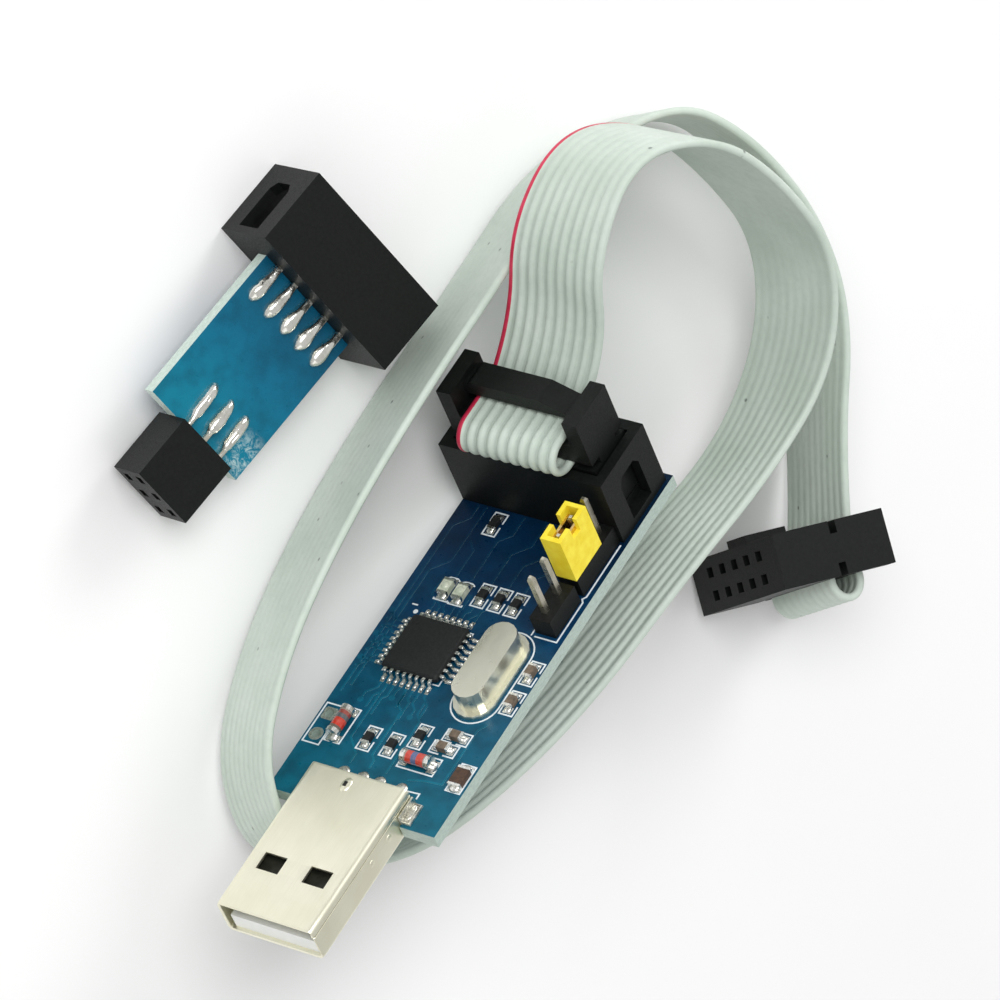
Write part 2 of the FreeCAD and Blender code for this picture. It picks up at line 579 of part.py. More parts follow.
# ------------------------------------------------------------------- writing
CORD = [n for n, _, _ in RIBBON_NODES] + ["far_socket_body", "far_socket_contacts", "far_socket_cover",
                                          "far_strain_relief", "far_ribbon_fold"]
lo, hi = V(1e9, 1e9, 1e9), V(-1e9, -1e9, -1e9)
for name in SHAPES:
    shapes = SHAPES[name]
    for q in shapes:
        if not q.isValid():
            print("INVALID", name)
        if name not in CORD:
            b = q.BoundBox
            lo = V(min(lo.x, b.XMin), min(lo.y, b.YMin), min(lo.z, b.ZMin))
            hi = V(max(hi.x, b.XMax), max(hi.y, b.YMax), max(hi.z, b.ZMax))
    out = shapes[0] if len(shapes) == 1 else Part.makeCompound(shapes)
    out.exportStep("parts/%s.step" % name)
allb = Part.makeCompound([q for s in SHAPES.values() for q in s]).BoundBox
print("nodes", len(SHAPES), "solids", sum(len(s) for s in SHAPES.values()))
print("object without cord", lo, hi, "middle", (lo + hi) * 0.5)
print("everything", allb)
for name in CORD:
    print(name, "lowest %.2f" % min(q.BoundBox.ZMin for q in SHAPES[name]))
print("first point", centres[0], "last point", centres[-1], widths[0], widths[-1])
print("board axes", BX, BY, BZ, BO)
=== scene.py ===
import bpy, bmesh, math, random
from mathutils import Vector, Matrix


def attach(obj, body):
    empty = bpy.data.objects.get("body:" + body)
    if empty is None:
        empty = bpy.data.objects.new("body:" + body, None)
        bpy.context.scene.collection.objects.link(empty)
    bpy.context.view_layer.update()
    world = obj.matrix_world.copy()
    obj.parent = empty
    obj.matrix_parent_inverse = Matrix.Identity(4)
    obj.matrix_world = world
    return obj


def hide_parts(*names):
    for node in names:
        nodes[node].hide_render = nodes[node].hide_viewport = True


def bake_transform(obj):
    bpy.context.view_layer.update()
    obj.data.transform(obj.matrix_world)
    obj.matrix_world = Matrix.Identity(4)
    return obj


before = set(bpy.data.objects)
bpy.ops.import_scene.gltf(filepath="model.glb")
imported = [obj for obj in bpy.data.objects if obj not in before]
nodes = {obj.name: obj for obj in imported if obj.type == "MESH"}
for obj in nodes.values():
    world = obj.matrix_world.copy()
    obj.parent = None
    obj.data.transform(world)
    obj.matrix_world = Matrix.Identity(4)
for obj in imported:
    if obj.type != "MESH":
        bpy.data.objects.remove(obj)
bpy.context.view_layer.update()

random.seed(7)
MM = 0.001

# --------------------------------------------------------------------------
# frames of the pieces, the same as in part.py (row frame, metres)
# --------------------------------------------------------------------------
OX, OY, RISE = -19.473, 32.058, 24.705
U = Vector((0.91051, -0.22587, 0.34634)).normalized()
E1 = Vector((0, 1, 0)).cross(U).normalized()
E2 = U.cross(E1)
BX, BY, BZ = Vector((E1.x, E2.x, U.x)), Vector((E1.y, E2.y, U.y)), Vector((E1.z, E2.z, U.z))
BO = Vector((-OX, -OY, RISE)) * MM


def frame_of(ex, ey, ez, o):
    return Matrix(((ex.x, ey.x, ez.x, o.x), (ex.y, ey.y, ez.y, o.y), (ex.z, ey.z, ez.z, o.z), (0, 0, 0, 1)))


def local_scale(m):
    return m @ Matrix.Scale(MM, 4)


BOARD = frame_of(BX, BY, BZ, BO)
NEAR = frame_of(BX, BY, BZ, BO + (BX * -0.2 + BY * 59.85 + BZ * 2.0) * MM)
FL = Vector((0.269, -0.187, -0.945)).normalized()
FM = Vector((0.577, 0.817, 0.003))
FM = (FM - FL * FM.dot(FL)).normalized()
FT = FM.cross(FL)
FAR = frame_of(FL, FT, FM, Vector((24.00 - OX, 67.75 - OY, 9.30)) * MM)
_a = math.radians(2.5)
ADAPTER = frame_of(Vector((math.cos(_a), math.sin(_a), 0)), Vector((-math.sin(_a), math.cos(_a), 0)),
                   Vector((0, 0, 1)), Vector((-34.2 - OX, 51.75 - OY, 4.45)) * MM)

# --------------------------------------------------------------------------
# camera
# --------------------------------------------------------------------------
R_CAM = Matrix(((0.81897, 0.49662, -0.28749), (-0.22180, 0.73602, 0.63959), (0.52923, -0.46004, 0.71293)))
CAM_AT = Vector((346.184, -249.906, 474.854))
_b3 = BOARD.to_3x3()
cam_data = bpy.data.cameras.new("camera")
cam = bpy.data.objects.new("camera", cam_data)
bpy.context.scene.collection.objects.link(cam)
cx, cy, cz = [(_b3 @ Vector(r)).normalized() for r in R_CAM]
cz = cx.cross(cy).normalized()
cy = cz.cross(cx).normalized()
cam.matrix_world = frame_of(cx, cy, cz, BOARD @ (CAM_AT * MM))
cam_data.lens = 230.07
cam_data.sensor_width = 36.0
cam_data.clip_start = 0.02
cam_data.clip_end = 50.0
bpy.context.scene.camera = cam


# --------------------------------------------------------------------------
# material tools
# --------------------------------------------------------------------------
def nd(nt, kind, ins=None, **props):
    n = nt.nodes.new(kind)
    for k, v in props.items():
        setattr(n, k, v)
    for k, v in (ins or {}).items():
        if isinstance(v, bpy.types.NodeSocket):
            nt.links.new(v, n.inputs[k])
        else:
            n.inputs[k].default_value = v
    return n


def new_mat(name):
    m = bpy.data.materials.new(name)
    m.use_nodes = True
    nt = m.node_tree
    return m, nt, nt.nodes["Principled BSDF"]


def mm_coords(nt, m=None):
    """Object coordinates in millimetres, along a piece's own axes."""
    tc = nt.nodes.new("ShaderNodeTexCoord")
    out = tc.outputs["Object"]
    if m is None:
        return nd(nt, "ShaderNodeVectorMath", {0: out, 3: 1000.0}, operation="SCALE").outputs[0]
    o = m.to_translation()
    d = nd(nt, "ShaderNodeVectorMath", {0: out, 1: o}, operation="SUBTRACT").outputs[0]
    comb = nt.nodes.new("ShaderNodeCombineXYZ")
    for k in range(3):
        ax = m.col[k].to_3d().normalized() * 1000
        s = nd(nt, "ShaderNodeVectorMath", {0: d, 1: ax}, operation="DOT_PRODUCT").outputs["Value"]
        nt.links.new(s, comb.inputs[k])
    return comb.outputs[0]


def noise(nt, vec, scale, detail=4.0, rough=0.55, dist=0.0):
    return nd(nt, "ShaderNodeTexNoise", {"Vector": vec, "Scale": scale, "Detail": detail,
                                         "Roughness": rough, "Distortion": dist}).outputs["Fac"]


def stretch(nt, vec, s):
    return nd(nt, "ShaderNodeVectorMath", {0: vec, 1: s}, operation="MULTIPLY").outputs[0]


def ramp(nt, fac, stops, interp="LINEAR"):
    r = nt.nodes.new("ShaderNodeValToRGB")
    cr = r.color_ramp
    cr.interpolation = interp
    while len(cr.elements) < len(stops):
        cr.elements.new(0.5)
    for e, (p, c) in zip(cr.elements, stops):
        e.position = p
        e.color = tuple(c) + (1.0,) if len(c) == 3 else c
    nt.links.new(fac, r.inputs[0])
    return r.outputs[0]


def remap(nt, fac, a, b, lo, hi):
    return nd(nt, "ShaderNodeMapRange", {0: fac, 1: a, 2: b, 3: lo, 4: hi}).outputs[0]


def bump(nt, height, strength, distance, normal=None):
    ins = {"Height": height, "Strength": strength, "Distance": distance}
    if normal is not None:
        ins["Normal"] = normal
    return nd(nt, "ShaderNodeBump", ins).outputs[0]


def mix_col(nt, fac, a, b):
    n = nt.nodes.new("ShaderNodeMix")
    n.data_type = "RGBA"
    for idx, v in ((0, fac), (6, a), (7, b)):
        if isinstance(v, bpy.types.NodeSocket):
            nt.links.new(v, n.inputs[idx])
        else:
            n.inputs[idx].default_value = v if idx == 0 else (tuple(v) + (1.0,))[:4]
    return n.outputs[2]


def simple(name, c0, c1, metal=0.0, r0=0.35, r1=0.55, scale=0.9, bscale=6.0, bstr=0.15, bdist=0.00003,
           m=None, coat=0.0, squeeze=None, spec=0.5):
    """Two-tone procedural finish with uneven gloss and fine relief."""
    mat, nt, p = new_mat(name)
    v = mm_coords(nt, m)
    vv = stretch(nt, v, squeeze) if squeeze else v
    f = noise(nt, vv, scale, 5.0)
    nt.links.new(ramp(nt, f, [(0.32, c0), (0.68, c1)]), p.inputs["Base Color"])
    nt.links.new(remap(nt, noise(nt, vv, scale * 2.3, 4.0), 0.3, 0.7, r0, r1), p.inputs["Roughness"])
    nt.links.new(bump(nt, noise(nt, vv, bscale, 3.0), bstr, bdist), p.inputs["Normal"])
    p.inputs["Metallic"].default_value = metal
    p.inputs["Coat Weight"].default_value = coat
    p.inputs["Specular IOR Level"].default_value = spec
    return mat


M = {}
M["black"] = simple("moulded_black", (0.0026, 0.0034, 0.0030), (0.0060, 0.0076, 0.0068), r0=0.40, r1=0.58, scale=2.6,
                    bscale=9.0, bstr=0.30, bdist=0.00002, spec=0.24)
M["black_fine"] = simple("moulded_black_fine", (0.004, 0.005, 0.005), (0.008, 0.009, 0.009), r0=0.34, r1=0.50,
                         scale=2.4, bscale=12.0, bstr=0.2, spec=0.4)
M["chip"] = simple("moulding_compound", (0.006, 0.0075, 0.008), (0.014, 0.0155, 0.016), r0=0.48, r1=0.64, scale=3.5,
                   bscale=18.0, bstr=0.4, bdist=0.00002, spec=0.4)
M["solder"] = simple("bright_solder", (0.66, 0.66, 0.62), (0.90, 0.90, 0.86), metal=1.0, r0=0.14, r1=0.34, scale=1.6,
                     bscale=2.6, bstr=0.45, bdist=0.00010)
M["dull_solder"] = simple("dull_solder", (0.52, 0.51, 0.44), (0.86, 0.85, 0.78), metal=1.0, r0=0.20, r1=0.42,
                          scale=1.1, bscale=1.8, bstr=0.6, bdist=0.00016)
M["run"] = simple("solder_run", (0.74, 0.73, 0.66), (0.95, 0.94, 0.88), metal=1.0, r0=0.12, r1=0.30, scale=0.9,
                  bscale=1.5, bstr=0.5, bdist=0.00012)
M["pin"] = simple("plated_pin", (0.56, 0.53, 0.42), (0.78, 0.75, 0.64), metal=1.0, r0=0.22, r1=0.38, scale=0.8,
                  bscale=5.0, bstr=0.15)
M["gold"] = simple("gold_contact", (0.60, 0.40, 0.15), (0.80, 0.58, 0.26), metal=1.0, r0=0.20, r1=0.36, scale=1.1)
M["crystal"] = simple("satin_can", (0.80, 0.79, 0.65), (0.88, 0.87, 0.74), metal=1.0, r0=0.26, r1=0.34, scale=0.4,
                      bscale=5.0, bstr=0.04, m=BOARD, squeeze=(1.0, 0.35, 1.0))
M["white_plastic"] = simple("white_insulator", (0.84, 0.86, 0.83), (0.93, 0.94, 0.91), r0=0.32, r1=0.46, scale=0.4)
M["yellow"] = simple("yellow_moulding", (0.88, 0.68, 0.020), (0.99, 0.84, 0.070), r0=0.30, r1=0.46, scale=0.7,
                     bscale=4.0, bstr=0.15, spec=0.35)
M["tan"] = simple("tan_ceramic", (0.075, 0.058, 0.040), (0.20, 0.15, 0.105), r0=0.40, r1=0.6, scale=2.2, bscale=12.0)
M["fuse"] = simple("brown_resin", (0.035, 0.018, 0.010), (0.10, 0.05, 0.026), r0=0.35, r1=0.5, scale=2.2, bscale=10.0)
M["led"] = simple("clear_resin", (0.46, 0.52, 0.40), (0.74, 0.78, 0.64), r0=0.10, r1=0.22, scale=1.4, coat=0.4)
M["led_chip"] = simple("led_die", (0.16, 0.17, 0.10), (0.36, 0.36, 0.22), r0=0.3, r1=0.5, scale=3.0)
M["silk"] = simple("white_print", (0.66, 0.74, 0.78), (0.84, 0.88, 0.90), r0=0.55, r1=0.7, scale=2.0, bscale=16.0)
M["red"] = simple("red_stripe", (0.52, 0.015, 0.055), (0.68, 0.030, 0.095), r0=0.36, r1=0.50, scale=0.5)
# dark sheet within the plug, seen through the shell's windows: painted shade
M["inside"] = simple("dark_inside", (0.010, 0.011, 0.007), (0.030, 0.032, 0.022), r0=0.5, r1=0.7, scale=0.9)
M["seam"] = simple("seam_shadow", (0.10, 0.085, 0.045), (0.20, 0.17, 0.10), metal=0.6, r0=0.4, r1=0.6, scale=0.8)


def steel():
    mat, nt, p = new_mat("plug_steel")
    v = mm_coords(nt)
    v = mm_coords(nt, BOARD)
    brushed = noise(nt, stretch(nt, v, (9.0, 0.35, 9.0)), 1.0, 5.0, 0.6)
    cloud = noise(nt, v, 0.16, 3.0)
    c = ramp(nt, cloud, [(0.3, (0.86, 0.84, 0.66)), (0.7, (0.94, 0.92, 0.76))])
    nt.links.new(mix_col(nt, remap(nt, brushed, 0.35, 0.65, 0.0, 0.14), c, (0.70, 0.68, 0.54)), p.inputs["Base Color"])
    nt.links.new(remap(nt, brushed, 0.3, 0.7, 0.30, 0.44), p.inputs["Roughness"])
    nt.links.new(bump(nt, brushed, 0.18, 0.00003), p.inputs["Normal"])
    p.inputs["Metallic"].default_value = 1.0
    return mat


M["steel"] = steel()


def board_mask(name, m, stops, y0, y1, edge, stain=None, spec=0.22):
    """Solder mask on the faces, darkened from y0 to y1 as painted shade, fibreglass on the cut edges."""
    mat, nt, p = new_mat(name)
    v = mm_coords(nt, m)
    sep = nd(nt, "ShaderNodeSeparateXYZ", {0: v})
    # the colour runs through the stops from y0 to y1: painted shade, darker towards y1
    along = remap(nt, sep.outputs["Y"], y0, y1, 0.0, 1.0)
    wob = remap(nt, noise(nt, v, 0.10, 3.0), 0.3, 0.7, -0.10, 0.10)
    along = nd(nt, "ShaderNodeMath", {0: along, 1: wob}, operation="ADD").outputs[0]
    base = ramp(nt, along, stops)
    cloud = noise(nt, v, 0.45, 5.0)
    base = mix_col(nt, remap(nt, cloud, 0.42, 0.68, 0.0, 0.38), base, tuple(0.45 * q for q in stops[-1][1]))
    # the woven glass shows faintly through the mask
    cloth = noise(nt, stretch(nt, v, (1.0, 1.0, 0.2)), 7.0, 2.0)
    base = mix_col(nt, remap(nt, cloth, 0.4, 0.7, 0.0, 0.10), base, tuple(min(1.0, 1.5 * q) for q in stops[0][1]))
    if stain:
        c, r, amount = stain
        d = nd(nt, "ShaderNodeVectorMath", {0: v, 1: c}, operation="DISTANCE").outputs["Value"]
        swirl = noise(nt, v, 0.9, 6.0, 0.7, 1.6)
        near = remap(nt, d, r * 0.3, r, 1.0, 0.0)
        film = nd(nt, "ShaderNodeMath", {0: near, 1: remap(nt, swirl, 0.46, 0.66, 0.0, amount)},
                  operation="MULTIPLY").outputs[0]
        base = mix_col(nt, film, base, (0.62, 0.74, 0.70))
    tc = nt.nodes.new("ShaderNodeTexCoord")
    nrm = nd(nt, "ShaderNodeVectorMath", {0: tc.outputs["Normal"], 1: m.col[2].to_3d().normalized()},
             operation="DOT_PRODUCT").outputs["Value"]
    flat = nd(nt, "ShaderNodeMath", {0: nrm}, operation="ABSOLUTE").outputs[0]
    face = nd(nt, "ShaderNodeMath", {0: flat, 1: 0.7}, operation="GREATER_THAN").outputs[0]
    weave = noise(nt, stretch(nt, v, (1.0, 1.0, 9.0)), 2.0, 3.0)
    edge_c = ramp(nt, weave, [(0.35, tuple(0.70 * q for q in edge)), (0.65, edge)])
    nt.links.new(mix_col(nt, face, edge_c, base), p.inputs["Base Color"])
    nt.links.new(remap(nt, noise(nt, v, 1.1, 4.0), 0.3, 0.7, 0.26, 0.42), p.inputs["Roughness"])
    nt.links.new(bump(nt, noise(nt, v, 2.0, 3.0), 0.05, 0.00002), p.inputs["Normal"])
    p.inputs["Specular IOR Level"].default_value = spec
    return mat


# the stops darken each mask along its board: painted shade, on the main board from light blue at the plug end to near
# black at the header end
M["board"] = board_mask("blue_mask", BOARD, [(0.0, (0.0032, 0.118, 0.182)), (0.30, (0.0026, 0.080, 0.148)),
                                            (0.62, (0.0018, 0.034, 0.100)), (0.85, (0.0010, 0.012, 0.046)),
                                            (1.0, (0.0008, 0.007, 0.028))], 16, 60, (0.50, 0.61, 0.55))
M["adapter"] = board_mask("pale_blue_mask", ADAPTER, [(0.0, (0.0030, 0.185, 0.280)), (0.55, (0.0022, 0.130, 0.230)),
                                                     (1.0, (0.0018, 0.085, 0.165))], -18, 0, (0.70, 0.84, 0.76),
                          stain=((5.6, -16.6, 0.8), 3.4, 0.85))
M["trace"] = board_mask("masked_copper", BOARD, [(0.0, (0.0036, 0.165, 0.235)), (0.30, (0.0032, 0.120, 0.200)),
                                               (0.62, (0.0022, 0.048, 0.118)), (0.85, (0.0013, 0.018, 0.058)),
                                               (1.0, (0.0010, 0.010, 0.036))], 16, 60, (0.46, 0.66, 0.60))


def ribbon_mat():
    mat, nt, p = new_mat("grey_vinyl")
    v = mm_coords(nt)
    cloud = noise(nt, v, 0.10, 4.0)
    c = ramp(nt, cloud, [(0.3, (0.520, 0.605, 0.525)), (0.7, (0.630, 0.705, 0.635))])
    fine = noise(nt, v, 1.3, 5.0)
    c = mix_col(nt, remap(nt, fine, 0.45, 0.75, 0.0, 0.22), c, (0.42, 0.49, 0.45))
    # the grooves between the wires are darkened, more where the ribs stand high: painted shade in the creases
    uv = nt.nodes.new("ShaderNodeUVMap")
    uv.uv_map = "along"
    us = nd(nt, "ShaderNodeSeparateXYZ", {0: uv.outputs[0]})
    k = nd(nt, "ShaderNodeMath", {0: us.outputs["X"], 1: 10.0}, operation="MULTIPLY").outputs[0]
    k = nd(nt, "ShaderNodeMath", {0: k}, operation="FRACT").outputs[0]
    k = nd(nt, "ShaderNodeMath", {0: k, 1: 0.5}, operation="SUBTRACT").outputs[0]
    k = nd(nt, "ShaderNodeMath", {0: k}, operation="ABSOLUTE").outputs[0]
    groove_shade = remap(nt, k, 0.26, 0.50, 0.0, 1.0)
    depth = remap(nt, us.outputs["Y"], 0.0, 1.0, 0.0, 0.36)
    groove_shade = nd(nt, "ShaderNodeMath", {0: groove_shade, 1: depth}, operation="MULTIPLY").outputs[0]
    c = mix_col(nt, groove_shade, c, (0.25, 0.31, 0.26))
    # sparse dark specks from handling
    vor = nd(nt, "ShaderNodeTexVoronoi", {"Vector": v, "Scale": 0.34, "Randomness": 1.0}, feature="F1").outputs["Distance"]
    few = noise(nt, v, 0.22, 2.0)
    speck = remap(nt, vor, 0.04, 0.10, 1.0, 0.0)
    speck = nd(nt, "ShaderNodeMath", {0: speck, 1: remap(nt, few, 0.50, 0.56, 0.0, 0.8)}, operation="MULTIPLY").outputs[0]
    nt.links.new(mix_col(nt, speck, c, (0.06, 0.08, 0.07)), p.inputs["Base Color"])
    nt.links.new(remap(nt, fine, 0.3, 0.7, 0.40, 0.54), p.inputs["Roughness"])
    nt.links.new(bump(nt, fine, 0.08, 0.00003), p.inputs["Normal"])
    p.inputs["Specular IOR Level"].default_value = 0.35
    return mat


M["ribbon"] = ribbon_mat()


def glass_diode(name, m):
    """Glass tubes with coloured bands printed across them."""
    mat, nt, p = new_mat(name)
    v = mm_coords(nt, m)
    sep = nd(nt, "ShaderNodeSeparateXYZ", {0: v})
    left = nd(nt, "ShaderNodeMath", {0: sep.outputs["X"], 1: -2.0}, operation="LESS_THAN").outputs[0]
    f1 = remap(nt, sep.outputs["X"], 3.8 - 1.25, 3.8 + 1.25, 0.0, 1.0)
    f2 = remap(nt, sep.outputs["Y"], 25.1 - 1.25, 25.1 + 1.25, 0.0, 1.0)
    glass, red, blue = (0.30, 0.26, 0.22), (0.55, 0.030, 0.012), (0.075, 0.115, 0.260)
    c1 = ramp(nt, f1, [(0.0, glass), (0.06, red), (0.34, blue), (0.60, red), (0.94, glass)], "CONSTANT")
    c2 = ramp(nt, f2, [(0.0, (0.12, 0.10, 0.08)), (0.14, red), (0.52, (0.10, 0.11, 0.12)), (0.74, (0.28, 0.05, 0.04)),
                       (0.92, glass)], "CONSTANT")
    n = noise(nt, v, 2.2, 3.0)
    nt.links.new(mix_col(nt, remap(nt, n, 0.45, 0.75, 0.0, 0.22), mix_col(nt, left, c1, c2), (0.50, 0.30, 0.24)),
                 p.inputs["Base Color"])
    nt.links.new(remap(nt, n, 0.3, 0.7, 0.08, 0.20), p.inputs["Roughness"])
    p.inputs["Coat Weight"].default_value = 0.5
    return mat


# --------------------------------------------------------------------------
# mesh tools
# --------------------------------------------------------------------------
def add_mesh(name, verts, faces, mats, matrix=None, body="root", smooth=False, face_mats=None):
    me = bpy.data.meshes.new(name)
    me.from_pydata([tuple(v) for v in verts], [], faces)
    for m in mats:
        me.materials.append(m)
    if face_mats:
        me.polygons.foreach_set("material_index", face_mats)
    if matrix is not None:
        me.transform(matrix)
    me.validate()
    bm = bmesh.new()
    bm.from_mesh(me)
    bmesh.ops.recalc_face_normals(bm, faces=bm.faces)
    bm.to_mesh(me)
    bm.free()
    if smooth:
        me.polygons.foreach_set("use_smooth", [True] * len(me.polygons))
    ob = bpy.data.objects.new(name, me)
    bpy.context.scene.collection.objects.link(ob)
    if body:
        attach(ob, body)
    return ob


def bevel(ob, width, segments=2, angle=30):
    b = ob.modifiers.new("soft_edges", "BEVEL")
    b.width = width * MM
    b.segments = segments
    b.limit_method = "ANGLE"
    b.angle_limit = math.radians(angle)
    b.harden_normals = False
    return ob


def smooth_by_angle(ob, deg=40):
    me = ob.data
    me.polygons.foreach_set("use_smooth", [True] * len(me.polygons))
    me.set_sharp_from_angle(angle=math.radians(deg))


class Build:
    """Collects simple solids in one mesh, in a piece's own millimetres."""

    def __init__(self):
        self.v, self.f, self.m = [], [], []

    def add(self, verts, faces, mat=0):
        n = len(self.v)
        self.v += [tuple(p) for p in verts]
        self.f += [tuple(i + n for i in f) for f in faces]
        self.m += [mat] * len(faces)

    def box(self, x0, x1, y0, y1, z0, z1, mat=0, taper=0.0):
        t = taper
        self.add([(x0, y0, z0), (x1, y0, z0), (x1, y1, z0), (x0, y1, z0),
                  (x0 + t, y0 + t, z1), (x1 - t, y0 + t, z1), (x1 - t, y1 - t, z1), (x0 + t, y1 - t, z1)],
                 [(0, 3, 2, 1), (4, 5, 6, 7), (0, 1, 5, 4), (1, 2, 6, 5), (2, 3, 7, 6), (3, 0, 4, 7)], mat)

    def stroke(self, pts, w, z0, z1, mat=0, closed=False):
        """A printed or etched line of width w with mitred corners."""
        n = len(pts)
        left, right = [], []
        for i, p in enumerate(pts):
            p = Vector(p)
            if closed:
                a, b = Vector(pts[i - 1]), Vector(pts[(i + 1) % n])
            else:
                a = Vector(pts[i - 1]) if i > 0 else None
                b = Vector(pts[i + 1]) if i < n - 1 else None
            d0 = (p - a).normalized() if a is not None else (b - p).normalized()
            d1 = (b - p).normalized() if b is not None else d0
            n0, n1 = Vector((-d0.y, d0.x)), Vector((-d1.y, d1.x))
            mt = n0 + n1
            mt = mt.normalized() if mt.length > 1e-6 else n0
            k = min(2.0, 1.0 / max(0.3, mt.dot(n0)))
            left.append(p + mt * (w / 2 * k))
            right.append(p - mt * (w / 2 * k))
        vs, fs = [], []
        for l, r in zip(left, right):
            vs += [(l.x, l.y, z0), (r.x, r.y, z0), (r.x, r.y, z1), (l.x, l.y, z1)]
        last = n if closed else n - 1
        for i in range(last):
            a, b = 4 * i, 4 * ((i + 1) % n)
            for k in range(4):
                j = (k + 1) % 4
                fs.append((a + k, a + j, b + j, b + k))
        if not closed:
            fs += [(3, 2, 1, 0), (4 * (n - 1), 4 * (n - 1) + 1, 4 * (n - 1) + 2, 4 * (n - 1) + 3)]
        self.add(vs, fs, mat)

    def dome(self, c, r, mat=0, rings=5, segs=14, axis="z", half=True):
        """Part of an ellipsoid with radii r at c, flat side down unless half is False."""
        vs, fs = [], []
        lo = 0.0 if half else -math.pi / 2
        rows = rings if half else 2 * rings
        for i in range(rows + 1):
            a = lo + (math.pi / 2 - lo) * i / rows
            for k in range(segs):
                b = 2 * math.pi * k / segs
                vs.append((math.cos(a) * math.cos(b) * r[0], math.cos(a) * math.sin(b) * r[1], math.sin(a) * r[2]))
        for i in range(rows):
            for k in range(segs):
                j = (k + 1) % segs
                fs.append((i * segs + k, i * segs + j, (i + 1) * segs + j, (i + 1) * segs + k))
        fs.append(tuple(range(segs - 1, -1, -1)))
        fs.append(tuple(rows * segs + k for k in range(segs)))
        if axis == "x":
            vs = [(z, x, y) for x, y, z in vs]
        if axis == "-y":
            vs = [(x, -z, y) for x, y, z in vs]
        self.add([(c[0] + x, c[1] + y, c[2] + z) for x, y, z in vs], fs, mat)

    def done(self, name, mats, matrix, body, slot, smooth=False, bev=None, angle=35):
        ob = add_mesh(name, self.v, self.f, mats, local_scale(matrix), body, False, self.m)
        if smooth:
            smooth_by_angle(ob, angle)
        if bev:
            bevel(ob, bev, 2)
        return ob


# --------------------------------------------------------------------------
# ribbon cable
# --------------------------------------------------------------------------
ROUTE = [
    ((0.00676, 0.03000, 0.01506), (0.356, 0.211, 0.911)),
    ((0.00347, 0.03474, 0.01625), (0.380, 0.160, 0.911)),
    ((-0.00673, 0.03848, 0.02155), (0.349, 0.020, 0.937)),
    ((-0.01065, 0.04875, 0.02157), (0.150, 0.000, 0.989)),
    ((-0.00399, 0.05721, 0.02072), (0.110, 0.080, 0.991)),
    ((0.00661, 0.06052, 0.01864), (0.160, 0.140, 0.977)),
    ((0.01879, 0.06173, 0.01537), (0.199, 0.090, 0.976)),
    ((0.02840, 0.05492, 0.01353), (0.171, -0.020, 0.985)),
    ((0.03282, 0.04312, 0.01240), (-0.020, -0.090, 0.996)),
    ((0.03356, 0.02849, 0.01107), (0.070, -0.070, 0.995)),
    ((0.03483, 0.01232, 0.00994), (0.209, -0.040, 0.977)),
    ((0.03469, -0.00237, 0.00953), (0.050, -0.020, 0.999)),
    ((0.03260, -0.01447, 0.00977), (-0.159, 0.050, 0.986)),
    ((0.02481, -0.02264, 0.00911), (-0.149, 0.080, 0.986)),
    ((0.01433, -0.01912, 0.00760), (-0.159, -0.030, 0.987)),
    ((0.00795, -0.00896, 0.00689), (-0.190, -0.040, 0.981)),
    ((0.00334, 0.00427, 0.00666), (-0.181, -0.040, 0.983)),
    ((0.00001, 0.01958, 0.00666), (-0.190, -0.030, 0.981)),
    ((-0.00233, 0.03525, 0.00666), (-0.209, -0.020, 0.978)),
    ((-0.00463, 0.04908, 0.00638), (-0.231, 0.020, 0.973)),
    ((-0.00093, 0.06151, 0.00647), (-0.200, 0.140, 0.970)),
    ((0.00728, 0.06694, 0.00674), (-0.040, -0.090, 0.995)),
    ((0.01977, 0.06662, 0.00644), (0.030, 0.090, 0.995)),
    ((0.03082, 0.06214, 0.00665), (0.010, 0.160, 0.987)),
    ((0.04220, 0.05295, 0.00665), (-0.249, 0.030, 0.968)),
    ((0.04798, 0.04663, 0.00842), (-0.269, 0.187, 0.945)),
]

W_RIB, N_COND, R_COND, WEB = 12.7, 10, 0.45, 0.17


def spline_points(name, pts):
    cu = bpy.data.curves.new(name, "CURVE")
    cu.dimensions = "3D"
    cu.resolution_u = 14
    sp = cu.splines.new("NURBS")
    sp.points.add(len(pts) - 1)
    for q, p in zip(sp.points, pts):
        q.co = (p[0], p[1], p[2], 1.0)
    sp.order_u = 3
    sp.use_endpoint_u = True
    ob = bpy.data.objects.new(name, cu)
    bpy.context.scene.collection.objects.link(ob)
    bpy.context.view_layer.update()
    me = bpy.data.meshes.new_from_object(ob)
    out = [v.co.copy() for v in me.vertices]
    bpy.data.meshes.remove(me)
    bpy.data.objects.remove(ob)
    bpy.data.curves.remove(cu)
    return out


def profile():
    """Half-thickness of the cable across its width: ten round wires joined by a web."""
    us = []
    for k in range(N_COND):
        c = (k - (N_COND - 1) / 2) * 1.27
        for u in (-0.56, -0.42, -0.36, -0.22, 0.0, 0.22, 0.36, 0.42, 0.56):
            if abs(u) < 0.43:
                h = max(WEB, math.sqrt(max(0.0, R_COND ** 2 - u ** 2)))
            else:
                h = WEB
            # the outermost wires are round outside
            if (k == 0 and u < -0.45) or (k == N_COND - 1 and u > 0.45):
                continue
            us.append((c + u, h))
    return us


PROF = profile()
_lo = [(-6.35 + 0.14, 0.10)] + [(-6.35 + 0.185 + 0.03, 0.19)]


